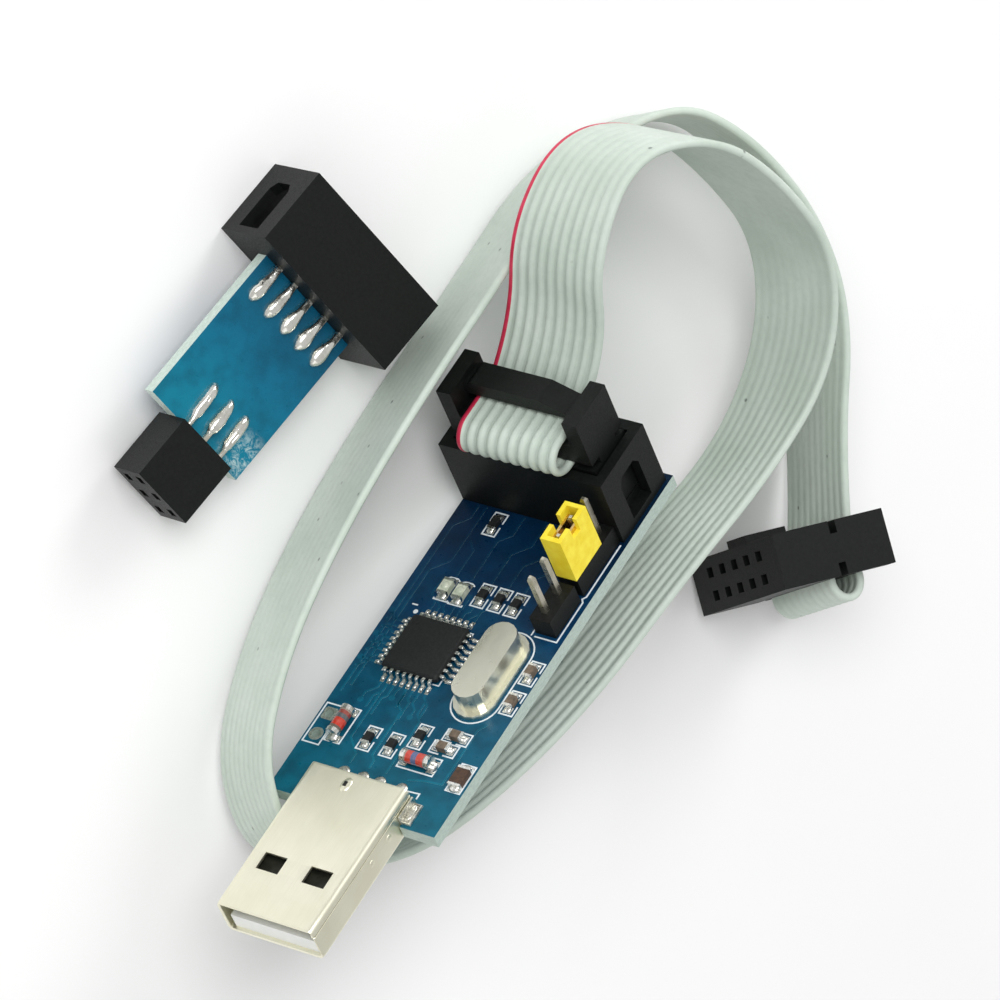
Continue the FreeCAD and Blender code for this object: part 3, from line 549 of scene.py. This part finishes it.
def sweep(name, stations, mat_list, body, cap0=True, cap1=True, ribs=None, stripe=None):
    """stations: (centre, width direction, normal) in metres; the width direction runs from the marked edge.
    ribs: how deep the grooves are at each station, 0 to 1.  stripe: which faces carry the mark there."""
    half = [(-6.165, 0.0)] + [(u, h) for u, h in PROF] + [(6.165, 0.0)] + [(u, -h) for u, h in reversed(PROF)]
    nr = len(half)
    verts, faces, fm, uvs = [], [], [], []
    run = 0.0
    for i, (c, w, n) in enumerate(stations):
        d = 1.0 if ribs is None else ribs[i]
        for u, h in half:
            s_ = 1 if h > 0 else -1
            if abs(h) > 0 and abs(u) < 6.0:
                h = s_ * (abs(h) * d + (1 - d) * R_COND * 0.93)
            verts.append(c + w * (u * MM) + n * (h * MM))
    for i in range(len(stations) - 1):
        d0_, d1_ = (1.0, 1.0) if ribs is None else (ribs[i], ribs[i + 1])
        for k in range(nr):
            j = (k + 1) % nr
            faces.append((i * nr + k, i * nr + j, (i + 1) * nr + j, (i + 1) * nr + k))
            u = (half[k][0] + half[j][0]) / 2
            side = 1 if half[k][1] + half[j][1] > 0 else -1
            marked = stripe is None and u < -5.55 or stripe is not None and stripe[i] == side and u < (-5.55 if side > 0 else -5.80)
            fm.append(1 if marked else 0)
            ua, ub = half[k][0] / 12.7 + 0.5, half[j][0] / 12.7 + 0.5
            uvs += [(ua, d0_), (ub, d0_), (ub, d1_), (ua, d1_)]
    for cap, order in ((cap0, list(range(nr - 1, -1, -1))), (cap1, [(len(stations) - 1) * nr + k for k in range(nr)])):
        if cap:
            faces.append(tuple(order))
            fm.append(0)
            uvs += [(half[k % nr][0] / 12.7 + 0.5, 0.5) for k in order]
    me = bpy.data.meshes.new(name)
    me.from_pydata([tuple(v) for v in verts], [], faces)
    for m in mat_list:
        me.materials.append(m)
    me.polygons.foreach_set("material_index", fm)
    layer = me.uv_layers.new(name="along")
    layer.data.foreach_set("uv", [q for p in uvs for q in p])
    bm = bmesh.new()
    bm.from_mesh(me)
    bmesh.ops.recalc_face_normals(bm, faces=bm.faces)
    bm.to_mesh(me)
    bm.free()
    me.polygons.foreach_set("use_smooth", [True] * len(me.polygons))
    me.set_sharp_from_angle(angle=math.radians(76))
    ob = bpy.data.objects.new(name, me)
    bpy.context.scene.collection.objects.link(ob)
    return ob


ctr_pts = [Vector(c) for c, w in ROUTE]
wid_pts = [Vector(w).normalized() for c, w in ROUTE]
c_line = spline_points("route", ctr_pts)
lo_line = spline_points("route_low", [c - w * (W_RIB / 2 * MM) for c, w in zip(ctr_pts, wid_pts)])
up_line = spline_points("route_up", [c + w * (W_RIB / 2 * MM) for c, w in zip(ctr_pts, wid_pts)])
stations = []
nn = len(c_line)
for i in range(nn):
    t = (c_line[min(i + 1, nn - 1)] - c_line[max(i - 1, 0)]).normalized()
    w = (up_line[i] - lo_line[i]).normalized()
    n = w.cross(t).normalized()
    stations.append((c_line[i], w, n))
# the lead hands over to the main run past the first arch
split = min(range(nn), key=lambda i: (c_line[i] - ctr_pts[8]).length)
MATS_R = [M["ribbon"], M["red"]]

# the ribs are worn nearly flat where the cable was pressed, along the inner run and round both arches
near_pt = [min(range(nn), key=lambda i, q=q: (c_line[i] - ctr_pts[q]).length) for q in range(len(ctr_pts))]


def track(values):
    out = []
    for i in range(nn):
        lo_k = max(k for k in range(len(near_pt)) if near_pt[k] <= i)
        hi_k = min(lo_k + 1, len(near_pt) - 1)
        span = max(1, near_pt[hi_k] - near_pt[lo_k])
        f = (i - near_pt[lo_k]) / span
        f = f * f * (3 - 2 * f)
        out.append(values[lo_k] * (1 - f) + values[hi_k] * f)
    return out


RIBS = track([1, 1, .85, .25, .06, .05, .06, .20, .55, .9, 1, 1, 1, .7, .30, .10, .05, .04, .04, .05, .08, .08, .1, .12, .15, .3])
# the red mark shows up to the bend under the board
STRIPE = [1 if i < near_pt[13] else 0 for i in range(nn)]
lead = sweep("ribbon_lead", stations[:split + 1], MATS_R, None, ribs=RIBS[:split + 1], stripe=STRIPE[:split + 1])
main = sweep("ribbon_main", stations[split:], MATS_R, None, ribs=RIBS[split:], stripe=STRIPE[split:])
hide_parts("ribbon_rise")
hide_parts("ribbon_first_arch", "ribbon_outer_run", "ribbon_under_loop", "ribbon_inner_run",
            "ribbon_second_arch", "ribbon_tail")
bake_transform(lead)
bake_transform(main)


EXIT_T, EXIT_M = 2.78, 11.53
d0 = (ctr_pts[1] - ctr_pts[0]).normalized()
d1 = (ctr_pts[-2] - ctr_pts[-1]).normalized()
alpha_near = math.atan2(d0.dot(BZ), d0.dot(BY))
alpha_far = math.atan2(d1.dot(FM), d1.dot(FT))


def fold(name, matrix, alpha, body, replaced, side, depth=1.0, mark=None):
    rise = 0.34
    rr = rise / (1 - math.cos(alpha))
    m1 = EXIT_M - rise
    mid = 7.15 + 0.45
    rad = (m1 - mid) / 2
    path = [(2.7 + (-3.35 - 2.7) * k / 4, mid, -1.0, 0.0) for k in range(4)]
    for k in range(25):
        a = math.pi * k / 24
        bulge = 1.0 + 0.10 * math.sin(a)
        path.append((-3.35 - rad * math.sin(a) * bulge, mid + rad - rad * math.cos(a), -math.cos(a), math.sin(a)))
    ts = EXIT_T - rr * math.sin(alpha)
    for k in range(1, 4):
        path.append((-3.35 + (ts + 3.35) * k / 4, m1, 1.0, 0.0))
    for k in range(9):
        a = alpha * k / 8
        path.append((ts + rr * math.sin(a), m1 + rr * (1 - math.cos(a)), math.cos(a), math.sin(a)))
    r3 = matrix.to_3x3()
    st = []
    for t, m, dt, dm in path:
        c = matrix @ (Vector((0, t, m)) * MM)
        w = (r3 @ Vector((side, 0, 0))).normalized()
        n = (r3 @ Vector((0, -dm, dt))).normalized()
        st.append((c, w, n))
    ob = sweep(name, st, MATS_R, None, ribs=[depth] * len(st), stripe=[mark] * len(st) if mark is not None else None)
    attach(ob, body)
    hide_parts(replaced)
    return ob


near_fold = fold("ribbon_fold_near", NEAR, alpha_near, "ribbon_plug", "near_ribbon_fold", 1)
far_fold = fold("ribbon_fold_far", FAR, alpha_far, "root", "far_ribbon_fold", -1, 0.3, 0)

# --------------------------------------------------------------------------
# finishes for the CAD nodes
# --------------------------------------------------------------------------
FINISH = {
    "circuit_board": "board", "usb_tongue": "white_plastic", "usb_contacts": "gold",
    "box_header_shroud": "black", "box_header_pins": "pin", "two_pin_strip": "black", "two_pin_strip_pins": "pin",
    "three_pin_strip": "black", "three_pin_strip_pins": "pin", "jumper_shell": "yellow", "jumper_clip": "gold",
    "microcontroller_body": "chip", "microcontroller_leads": "solder", "crystal_base": "crystal",
    "crystal_can": "crystal", "chip_resistors": "chip", "chip_resistors_ends": "solder",
    "chip_capacitors": "tan", "chip_capacitors_ends": "solder", "status_leds": "led", "status_leds_ends": "solder",
    "resettable_fuse": "fuse", "resettable_fuse_ends": "solder", "diode_caps": "solder",
    "solder_joints": "dull_solder",
    "near_socket_body": "black", "near_socket_contacts": "pin", "near_socket_cover": "black",
    "near_strain_relief": "black", "far_socket_body": "black", "far_socket_contacts": "pin",
    "far_socket_cover": "black", "far_strain_relief": "black",
    "adapter_board": "adapter", "adapter_box_header": "black", "adapter_header_pins": "dull_solder",
    "adapter_socket": "black", "adapter_socket_contacts": "pin", "adapter_solder": "dull_solder",
}
BEVELS = {"box_header_shroud": 0.14, "two_pin_strip": 0.12, "three_pin_strip": 0.12, "jumper_shell": 0.22,
          "near_socket_body": 0.12, "near_socket_cover": 0.14, "near_strain_relief": 0.16, "far_socket_body": 0.14,
          "far_socket_cover": 0.14, "far_strain_relief": 0.16, "adapter_box_header": 0.14, "adapter_socket": 0.14,
          "microcontroller_body": 0.10, "crystal_can": 0.30, "crystal_base": 0.06, "circuit_board": 0.05,
          "usb_tongue": 0.12, "chip_resistors": 0.05, "chip_resistors_ends": 0.06, "chip_capacitors": 0.05,
          "chip_capacitors_ends": 0.06, "resettable_fuse": 0.06, "resettable_fuse_ends": 0.06,
          "status_leds": 0.12, "status_leds_ends": 0.05, "adapter_board": 0.05, "jumper_clip": 0.05,
          "diode_caps": 0.10}
for name, key in FINISH.items():
    ob = nodes[name]
    ob.data.materials.clear()
    ob.data.materials.append(M[key])
    if name in BEVELS:
        bevel(ob, BEVELS[name], 3 if name in ("jumper_shell", "crystal_can") else 2)
gd = nodes["glass_diodes"]
gd.data.materials.clear()
gd.data.materials.append(glass_diode("glass_tube", BOARD))


# --------------------------------------------------------------------------
# USB plug shell: folded sheet steel
# --------------------------------------------------------------------------
def usb_shell():
    x, z0, z1, r = 6.0, -2.15, 2.35, 0.62
    ring = []

    def arc(cx_, cz_, a0, a1, n=5):
        for k in range(n + 1):
            a = math.radians(a0 + (a1 - a0) * k / n)
            ring.append((cx_ + r * math.cos(a), cz_ + r * math.sin(a)))

    ring.append((1.5, z1)); ring.append((4.2, z1))
    arc(x - r, z1 - r, 90, 0)
    ring += [(x, 1.50), (x - 0.10, 1.46), (x - 0.10, 1.34), (x, 1.30)]
    arc(x - r, z0 + r, 0, -90)
    ring.append((4.2, z0)); ring.append((1.5, z0)); ring.append((-1.5, z0)); ring.append((-4.2, z0))
    arc(-x + r, z0 + r, -90, -180)
    arc(-x + r, z1 - r, 180, 90)
    ring.append((-4.2, z1)); ring.append((-1.5, z1))
    ys = [0.0, 0.25, 5.1, 5.35, 6.95, 7.2, 14.7, 18.55, 18.79]
    nr = len(ring)
    verts, faces = [], []
    for y in ys:
        for a, b in ring:
            # the mouth is rolled very slightly inwards
            k = 0.985 if y == 0.0 else 1.0
            verts.append((a * k, y, (b - 0.1) * k + 0.1))
    windows = {(5.1, 7.2)}

    def is_window(k, i):
        a, b = ring[k], ring[(k + 1) % nr]
        top = abs(a[1] - z1) < 1e-6 and abs(b[1] - z1) < 1e-6
        bot = abs(a[1] - z0) < 1e-6 and abs(b[1] - z0) < 1e-6
        xs = sorted((abs(a[0]), abs(b[0])))
        return (top or bot) and abs(xs[0] - 1.5) < 1e-6 and abs(xs[1] - 4.2) < 1e-6 and 5.0 < ys[i] < 7.1

    for i in range(len(ys) - 1):
        for k in range(nr):
            if is_window(k, i):
                continue
            j = (k + 1) % nr
            faces.append((i * nr + k, i * nr + j, (i + 1) * nr + j, (i + 1) * nr + k))
    ob = add_mesh("usb_plug_shell", verts, faces, [M["steel"]], local_scale(BOARD), "root")
    s = ob.modifiers.new("sheet", "SOLIDIFY")
    s.thickness = 0.30 * MM
    s.offset = -1.0
    s.use_even_offset = True
    b = ob.modifiers.new("soft", "BEVEL")
    b.width = 0.05 * MM
    b.segments = 2
    b.limit_method = "ANGLE"
    b.angle_limit = math.radians(50)
    smooth_by_angle(ob, 35)
    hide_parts("usb_shell")
    # stamped dimples and the lug on the top face
    d = Build()
    d.dome((-0.6, 17.25, 2.28), (0.62, 0.95, 0.26), rings=6, segs=20)
    for y, z in ((13.96, 0.30), (10.63, 0.25)):
        d.dome((5.96, y, z), (0.42, 0.42, 0.16), axis="x", rings=5, segs=16)
    q = d.done("usb_plug_dimples", [M["steel"]], BOARD, "root", "usb_metal", smooth=True)
    # the slot in the lug is a thin black patch on the sheet: painted shade of the opening
    k = Build()
    k.box(-0.85, -0.45, 16.95, 17.55, 2.50, 2.555)
    k.done("usb_plug_lug_slot_shade", [M["black_fine"]], BOARD, "root", "usb_metal")
    # a dark plate under the shell's windows, where the plug holds no part: painted shade seen through them
    w = Build()
    w.box(-5.2, 5.2, 4.3, 8.4, 0.55, 0.75, taper=0.05)
    w.done("usb_plug_window_shade", [M["inside"]], BOARD, "root", "usb_metal", bev=0.05)
    e = Build()
    for sx in (-1, 1):
        xa, xb = sorted((sx * 5.885, sx * 5.925))
        e.box(xa, xb, 0.15, 18.5, 1.345, 1.455)
    e.done("usb_plug_seams", [M["seam"]], BOARD, "root", "usb_metal")
    t = Build()
    for sx in (-1, 1):
        xa, xb = sorted((sx * 6.02, sx * 6.32))
        t.box(xa, xb, 16.0, 18.9, -0.02, 1.15, taper=0.04)
        xa, xb = sorted((sx * 6.02, sx * 7.25))
        t.box(xa, xb, 16.1, 18.8, 0.0, 0.30, taper=0.08)
    t.done("usb_plug_feet", [M["dull_solder"]], BOARD, "root", "usb_metal", bev=0.06)
    return ob


usb_shell()

# --------------------------------------------------------------------------
# printed marks, pads and traces on the board (no lettering)
# --------------------------------------------------------------------------
silk = Build()
Z0, Z1, LW = 0.001, 0.03, 0.17


def rect(x0, x1, y0, y1, w=LW):
    silk.stroke([(x0, y0), (x1, y0), (x1, y1), (x0, y1)], w, Z0, Z1, closed=True)


def bracket(x0, x1, y0, y1, gap=0.5, w=LW):
    """A component box with a gap in the middle of each long side."""
    ym = (y0 + y1) / 2
    silk.stroke([(x0, ym - gap / 2), (x0, y0), (x1, y0), (x1, ym - gap / 2)], w, Z0, Z1)
    silk.stroke([(x0, ym + gap / 2), (x0, y1), (x1, y1), (x1, ym + gap / 2)], w, Z0, Z1)


for x, y in ((-1.2, 44.6), (0.9, 44.6), (3.0, 44.55), (-3.15, 24.5), (-0.26, 24.5), (2.1, 26.4), (-5.05, 53.4)):
    bracket(x - 0.78, x + 0.78, y - 1.5, y + 1.5)
for x, y in ((9.35, 37.2), (9.35, 33.2)):
    bracket(x - 0.8, x + 0.8, y - 1.5, y + 1.5)
for x, y in ((6.0, 27.5), (5.4, 25.8)):
    silk.stroke([(x - 0.25, y + 0.75), (x - 1.5, y + 0.75), (x - 1.5, y - 0.75), (x - 0.25, y - 0.75)], LW, Z0, Z1)
    silk.stroke([(x + 0.25, y + 0.75), (x + 1.5, y + 0.75), (x + 1.5, y - 0.75), (x + 0.25, y - 0.75)], LW, Z0, Z1)
rect(8.3, 10.05, 21.3, 24.8)
rect(-7.85, -5.95, 22.9, 27.4)
rect(1.6, 6.0, 22.35, 24.5)
rect(-10.1, -8.05, 22.1, 27.2)
for x, y in ((-5.5, 44.2), (-3.6, 44.1)):
    silk.stroke([(x - 0.85, y + 1.3), (x - 0.45, y + 1.55), (x + 0.45, y + 1.55), (x + 0.85, y + 1.3)], LW, Z0, Z1)
    silk.stroke([(x - 0.85, y - 1.3), (x - 0.85, y - 1.5), (x + 0.85, y - 1.5), (x + 0.85, y - 1.3)], LW, Z0, Z1)
oval = []
for k in range(17):
    a = math.pi * k / 16
    oval.append((5.5 + 2.75 * math.cos(a), 38.8 + 2.75 * math.sin(a)))
for k in range(17):
    a = math.pi + math.pi * k / 16
    oval.append((5.5 + 2.75 * math.cos(a), 32.2 + 2.75 * math.sin(a)))
silk.stroke(oval, LW, Z0, Z1, closed=True)
silk.stroke([(7.0, 41.6), (9.75, 41.6), (9.75, 47.05), (9.45, 47.45), (9.75, 47.85), (9.75, 55.0)], LW, Z0, Z1)
silk.stroke([(6.6, 47.5), (6.6, 41.6)], LW, Z0, Z1)
silk.stroke([(6.6, 55.0), (6.6, 47.9)], LW, Z0, Z1)
silk.stroke([(4.45, 19.9), (5.95, 20.0), (5.95, 19.3)], LW, Z0, Z1)
silk.stroke([(-5.95, 19.3), (-5.95, 20.0), (-4.45, 20.0)], LW, Z0, Z1)
silk.stroke([(-8.2, 41.4), (-7.5, 41.4)], LW, Z0, Z1)
silk.dome((-7.3, 40.6, 0.0), (0.28, 0.28, 0.03), segs=16)
for sx, sy in ((-1, -1), (1, -1), (-1, 1), (1, 1)):
    cx_, cy_ = -3.1 + sx * 3.55, 36.3 + sy * 3.55
    silk.stroke([(cx_ - sx * 0.75, cy_ + sy * 0.0), (cx_, cy_), (cx_, cy_ - sy * 0.75)], 0.14, Z0, Z1)
silk.done("board_print", [M["silk"]], BOARD, "root", "white_plastic")

tr = Build()
TZ0, TZ1, TW = -0.01, 0.012, 0.24
for side in range(4):
    for k in range(8):
        o = (k - 3.5) * 0.8
        d = 4.6
        f1 = d + 0.7 + 0.35 * ((k * 5 + side * 3) % 4)
        spread_ = (o * 0.35)
        f2 = f1 + abs(spread_)
        f3 = f2 + 1.0 + 0.6 * ((k * 7 + side) % 3)
        pts = [(d, o), (f1, o), (f2, o + spread_), (f3, o + spread_)]
        a = math.pi / 2 * side
        out = []
        for r_, q in pts:
            X = -3.1 + r_ * math.cos(a) - q * math.sin(a)
            Y = 36.3 + r_ * math.sin(a) + q * math.cos(a)
            out.append((max(-10.0, min(10.0, X)), Y))
        if side == 0:
            out = [(min(2.9, x_), y_) for x_, y_ in out[:2]]
        tr.stroke(out, TW, TZ0, TZ1)
        if side != 0 and k % 3 == 0:
            tr.dome((out[-1][0], out[-1][1], 0.0), (0.36, 0.36, 0.02), segs=16, rings=2)
for pts in ([(-3.5, 21.2), (-3.5, 22.4), (-5.2, 24.1), (-5.2, 30.2)], [(-1.1, 21.2), (-1.1, 22.2), (-1.7, 22.8), (-1.7, 28.6), (-2.6, 29.5), (-2.6, 31.0)],
            [(1.0, 21.2), (1.0, 22.6), (0.95, 28.0), (0.2, 28.9), (0.2, 30.6)], [(3.7, 21.2), (5.4, 21.6), (7.6, 21.8), (7.6, 29.0), (8.3, 30.0)],
            [(-9.6, 29.0), (-9.6, 52.0), (-8.2, 53.4), (-8.2, 55.2)], [(-8.9, 30.0), (-8.9, 46.0), (-7.2, 47.7), (-7.2, 55.2)],
            [(-5.5, 46.0), (-5.5, 49.6), (-6.6, 50.7)], [(-1.2, 46.0), (-1.2, 50.4), (0.4, 52.0), (0.4, 55.2)],
            [(0.9, 46.0), (0.9, 49.4), (2.9, 51.4), (2.9, 55.2)], [(3.0, 46.0), (3.0, 48.2), (5.0, 50.2), (5.0, 55.2)],
            [(-3.6, 46.0), (-3.6, 51.5), (-2.4, 52.7), (-2.4, 55.2)]):
    tr.stroke(pts, TW, TZ0, TZ1)
tr.done("masked_traces", [M["trace"]], BOARD, "root", "board_mask")

pads = Build()


def pad(x, y, w, l):
    pads.box(x - w / 2, x + w / 2, y - l / 2, y + l / 2, -0.01, 0.05, taper=0.02)


def pair(x, y, axis, gap, w, l):
    for s in (-1, 1):
        if axis == "y":
            pad(x, y + s * gap, w, l)
        else:
            pad(x + s * gap, y, l, w)


for x, y in ((-1.2, 44.6), (0.9, 44.6), (3.0, 44.55), (-3.15, 24.5), (-0.26, 24.5), (2.1, 26.4), (-5.05, 53.4),
             (9.35, 37.2), (9.35, 33.2)):
    pair(x, y, "y", 0.90, 1.05, 0.85)
for x, y in ((6.0, 27.5), (5.4, 25.8)):
    pair(x, y, "x", 0.90, 1.05, 0.85)
for x, y in ((-5.5, 44.2), (-3.6, 44.1)):
    pair(x, y, "y", 1.02, 1.3, 0.9)
pair(9.2, 23.0, "y", 1.25, 1.5, 0.9)
pair(-6.9, 25.1, "y", 1.75, 1.6, 1.0)
pair(3.8, 23.4, "x", 1.75, 1.6, 1.0)
for side in range(4):
    for k in range(8):
        o = (k - 3.5) * 0.8
        a = math.pi / 2 * side
        X = -3.1 + 4.45 * math.cos(a) - o * math.sin(a)
        Y = 36.3 + 4.45 * math.sin(a) + o * math.cos(a)
        if side % 2 == 0:
            pad(X, Y, 1.0, 0.46)
        else:
            pad(X, Y, 0.46, 1.0)


def ring_pad(x, y, r_in, r_out, z, square=False):
    segs = 24
    vs, fs = [], []
    for k in range(segs):
        a = 2 * math.pi * (k + 0.5) / segs
        c, s = math.cos(a), math.sin(a)
        q = r_out / max(abs(c), abs(s)) if square else r_out
        vs += [(x + r_in * c, y + r_in * s, z), (x + q * c, y + q * s, z), (x + q * c, y + q * s, z - 0.04),
               (x + r_in * c, y + r_in * s, z - 0.04)]
    for k in range(segs):
        a, b = 4 * k, 4 * ((k + 1) % segs)
        for i in range(4):
            j = (i + 1) % 4
            fs.append((a + i, a + j, b + j, b + i))
    pads.add(vs, fs)


ring_pad(-9.1, 26.0, 0.5, 0.78, 0.03, True)
ring_pad(-9.1, 23.3, 0.5, 0.82, 0.03)
pads.done("tinned_pads", [M["solder"]], BOARD, "root", "solder", bev=0.015)

# solder fillets at the chip parts' ends
fil = Build()
for x, y in ((-1.2, 44.6), (0.9, 44.6), (3.0, 44.55), (-3.15, 24.5), (-0.26, 24.5), (2.1, 26.4), (-5.05, 53.4),
             (9.35, 37.2), (9.35, 33.2)):
    for s in (-1, 1):
        fil.dome((x, y + s * 0.93, 0.02), (0.46, 0.40, 0.30), segs=14)
for x, y in ((6.0, 27.5), (5.4, 25.8)):
    for s in (-1, 1):
        fil.dome((x + s * 0.93, y, 0.02), (0.40, 0.46, 0.36), segs=14)
for x, y in ((-5.5, 44.2), (-3.6, 44.1)):
    for s in (-1, 1):
        fil.dome((x, y + s * 1.08, 0.02), (0.58, 0.42, 0.34), segs=14)
for s in (-1, 1):
    fil.dome((9.2, 23.0 + s * 1.35, 0.02), (0.68, 0.42, 0.40), segs=14)
    fil.dome((-6.9, 25.1 + s * 1.85, 0.02), (0.72, 0.45, 0.55), segs=14)
    fil.dome((3.8 + s * 1.85, 23.4, 0.02), (0.45, 0.72, 0.55), segs=14)
for side in range(4):
    for k in range(8):
        o = (k - 3.5) * 0.8
        a = math.pi / 2 * side
        for r_, z_, q_ in ((4.52, 0.10, (0.27, 0.23, 0.20)), (3.86, 0.72, (0.16, 0.17, 0.10))):
            X = -3.1 + r_ * math.cos(a) - o * math.sin(a)
            Y = 36.3 + r_ * math.sin(a) + o * math.cos(a)
            fil.dome((X, Y, z_), q_ if side % 2 == 0 else (q_[1], q_[0], q_[2]), segs=12, rings=4)
fil.done("solder_fillets", [M["solder"]], BOARD, "root", "solder", smooth=True)

joint = Build()
for x in (-3.5, -1.1, 1.0, 3.7):
    joint.dome((x, 19.75, 0.0), (0.78, 0.95, 0.34), segs=22, rings=7)
for sx in (-1, 1):
    xa, xb = sorted((sx * 6.02, sx * 7.18))
    joint.box(xa, xb, 16.2, 18.8, 0.0, 0.30, taper=0.10)
    joint.dome((sx * 6.55, 17.5, 0.20), (0.45, 1.15, 0.24), segs=18, rings=6)
joint_ob = joint.done("usb_plug_solder", [M["dull_solder"]], BOARD, "root", "solder", smooth=True)
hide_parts("usb_solder")

# solder runs that hold the two connectors' posts on the adapter, on both of its faces
runs_ = Build()


def lerp(rows, t):
    for (t0, v0), (t1, v1) in zip(rows, rows[1:]):
        if t <= t1:
            return v0 + (v1 - v0) * (t - t0) / (t1 - t0)
    return rows[-1][1]


def solder_run(x, y0, y1, s_, wide, high):
    vs, fs = [], []
    n_, m_ = 18, 12
    lean = random.uniform(-0.10, 0.10)
    ph = random.uniform(0, 6.28)
    for i in range(n_ + 1):
        t = i / n_
        wob = 1.0 + 0.09 * math.sin(7.0 * t + ph)
        a_ = lerp(wide, t) * wob
        h_ = lerp(high, t) * (1.0 + 0.05 * math.sin(9.0 * t + 2 * ph))
        xc = x + lean * t + 0.05 * math.sin(5.0 * t + ph)
        for k in range(m_ + 1):
            b_ = math.pi * k / m_
            dent = 1.0 - 0.16 * math.exp(-((b_ - math.pi / 2) / 0.22) ** 2) * (0.3 < t < 0.8)
            vs.append((xc + a_ * math.cos(b_), y0 + (y1 - y0) * t, s_ * (0.79 + h_ * math.sin(b_) ** 0.8 * dent)))
    w_ = m_ + 1
    for i in range(n_):
        for k in range(w_):
            j = (k + 1) % w_
            fs.append((i * w_ + k, i * w_ + j, (i + 1) * w_ + j, (i + 1) * w_ + k))
    fs.append(tuple(range(w_ - 1, -1, -1)))
    fs.append(tuple(n_ * w_ + k for k in range(w_)))
    runs_.add(vs, fs)


for s_ in (1, -1):
    for i in range(5):
        solder_run((i - 2) * 2.54, -0.28, -4.5 - 0.08 * ((i * 3) % 2), s_,
                   [(0, .44), (.2, .54), (.45, .76), (.7, .82), (.88, .66), (1, .26)],
                   [(0, .88), (.3, .96), (.6, 1.02), (.85, .78), (1, .20)])
    for i in (-1, 0, 1):
        solder_run(0.8 + i * 2.54, -18.3, -12.95, s_,
                   [(0, .34), (.16, .36), (.26, .66), (.55, .74), (.82, .64), (.94, .46), (1, .16)],
                   [(0, .84), (.16, .84), (.28, 1.02), (.55, 1.08), (.82, .90), (.94, .55), (1, .10)])
runs_ob = runs_.done("adapter_solder_runs", [M["run"]], ADAPTER, "adapter", "solder", smooth=True, angle=60)
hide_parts("adapter_solder")

# the round lens on each indicator
lens = Build()
for x, y in ((-5.5, 44.2), (-3.6, 44.1)):
    lens.dome((x, y, 0.66), (0.46, 0.52, 0.30), segs=20)
lens.done("led_lenses", [M["led"]], BOARD, "root", "led_clear", smooth=True)

# a shallow round mark in the corner of the microcontroller
dot = Build()
dot.dome((-5.45, 38.65, 1.075), (0.32, 0.32, 0.04), segs=20, rings=2)
# the moulded body: drafted sides that meet at the leads' height, small corner flats
mcu = Build()
levels = [(0.15, 3.36), (0.60, 3.50), (0.80, 3.50), (1.10, 3.33)]
mv_, mf_ = [], []
for z_, a_ in levels:
    c_ = a_ - 0.22
    mv_ += [(-3.1 + x_, 36.3 + y_, z_) for x_, y_ in ((c_, -a_), (a_, -c_), (a_, c_), (c_, a_), (-c_, a_), (-a_, c_),
                                                      (-a_, -c_), (-c_, -a_))]
for q_ in range(3):
    for k in range(8):
        mf_.append((q_ * 8 + k, q_ * 8 + (k + 1) % 8, (q_ + 1) * 8 + (k + 1) % 8, (q_ + 1) * 8 + k))
mf_.append(tuple(range(7, -1, -1)))
mf_.append(tuple(24 + k for k in range(8)))
mcu.add(mv_, mf_)
mcu_ob = mcu.done("microcontroller_moulding", [M["chip"]], BOARD, "root", "chip_black", bev=0.06)
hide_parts("microcontroller_body")
dot.done("microcontroller_index", [M["black_fine"]], BOARD, "root", "chip_black", smooth=True)

# --------------------------------------------------------------------------
# floor and light
# --------------------------------------------------------------------------
fm, fnt, fp = new_mat("pale_floor")
fv = mm_coords(fnt)
fnt.links.new(ramp(fnt, noise(fnt, fv, 0.01, 3.0), [(0.3, (0.90, 0.90, 0.90)), (0.7, (0.93, 0.93, 0.93))]), fp.inputs["Base Color"])
fp.inputs["Roughness"].default_value = 0.9
fp.inputs["Specular IOR Level"].default_value = 0.1
floor_me = bpy.data.meshes.new("floor")
floor_me.from_pydata([(-3, -3, 0), (3, -3, 0), (3, 3, 0), (-3, 3, 0)], [], [(0, 1, 2, 3)])
floor_me.materials.append(fm)
floor = bpy.data.objects.new("floor", floor_me)
bpy.context.scene.collection.objects.link(floor)

world = bpy.data.worlds.new("studio")
bpy.context.scene.world = world
world.use_nodes = True
bg = world.node_tree.nodes["Background"]
bg.inputs[0].default_value = (1.0, 1.0, 1.0, 1.0)
bg.inputs[1].default_value = 0.57


def area(name, at, target, size, power, color=(1, 1, 1)):
    ld = bpy.data.lights.new(name, "AREA")
    ld.shape = "DISK"
    ld.size = size
    ld.energy = power
    ld.color = color
    lo_ = bpy.data.objects.new(name, ld)
    bpy.context.scene.collection.objects.link(lo_)
    lo_.location = at
    lo_.rotation_euler = (Vector(target) - Vector(at)).to_track_quat("-Z", "Y").to_euler()


mid = Vector((0.01, 0.02, 0.01))
area("key", mid + Vector((-0.45, -0.05, 0.65)), mid, 0.45, 3.0)
area("fill", mid + Vector((0.25, -0.60, 0.50)), mid, 0.50, 0.4)
area("rim", mid + Vector((-0.20, 0.70, 0.40)), mid, 0.40, 2.2)
bpy.context.scene.view_settings.view_transform = "Standard"
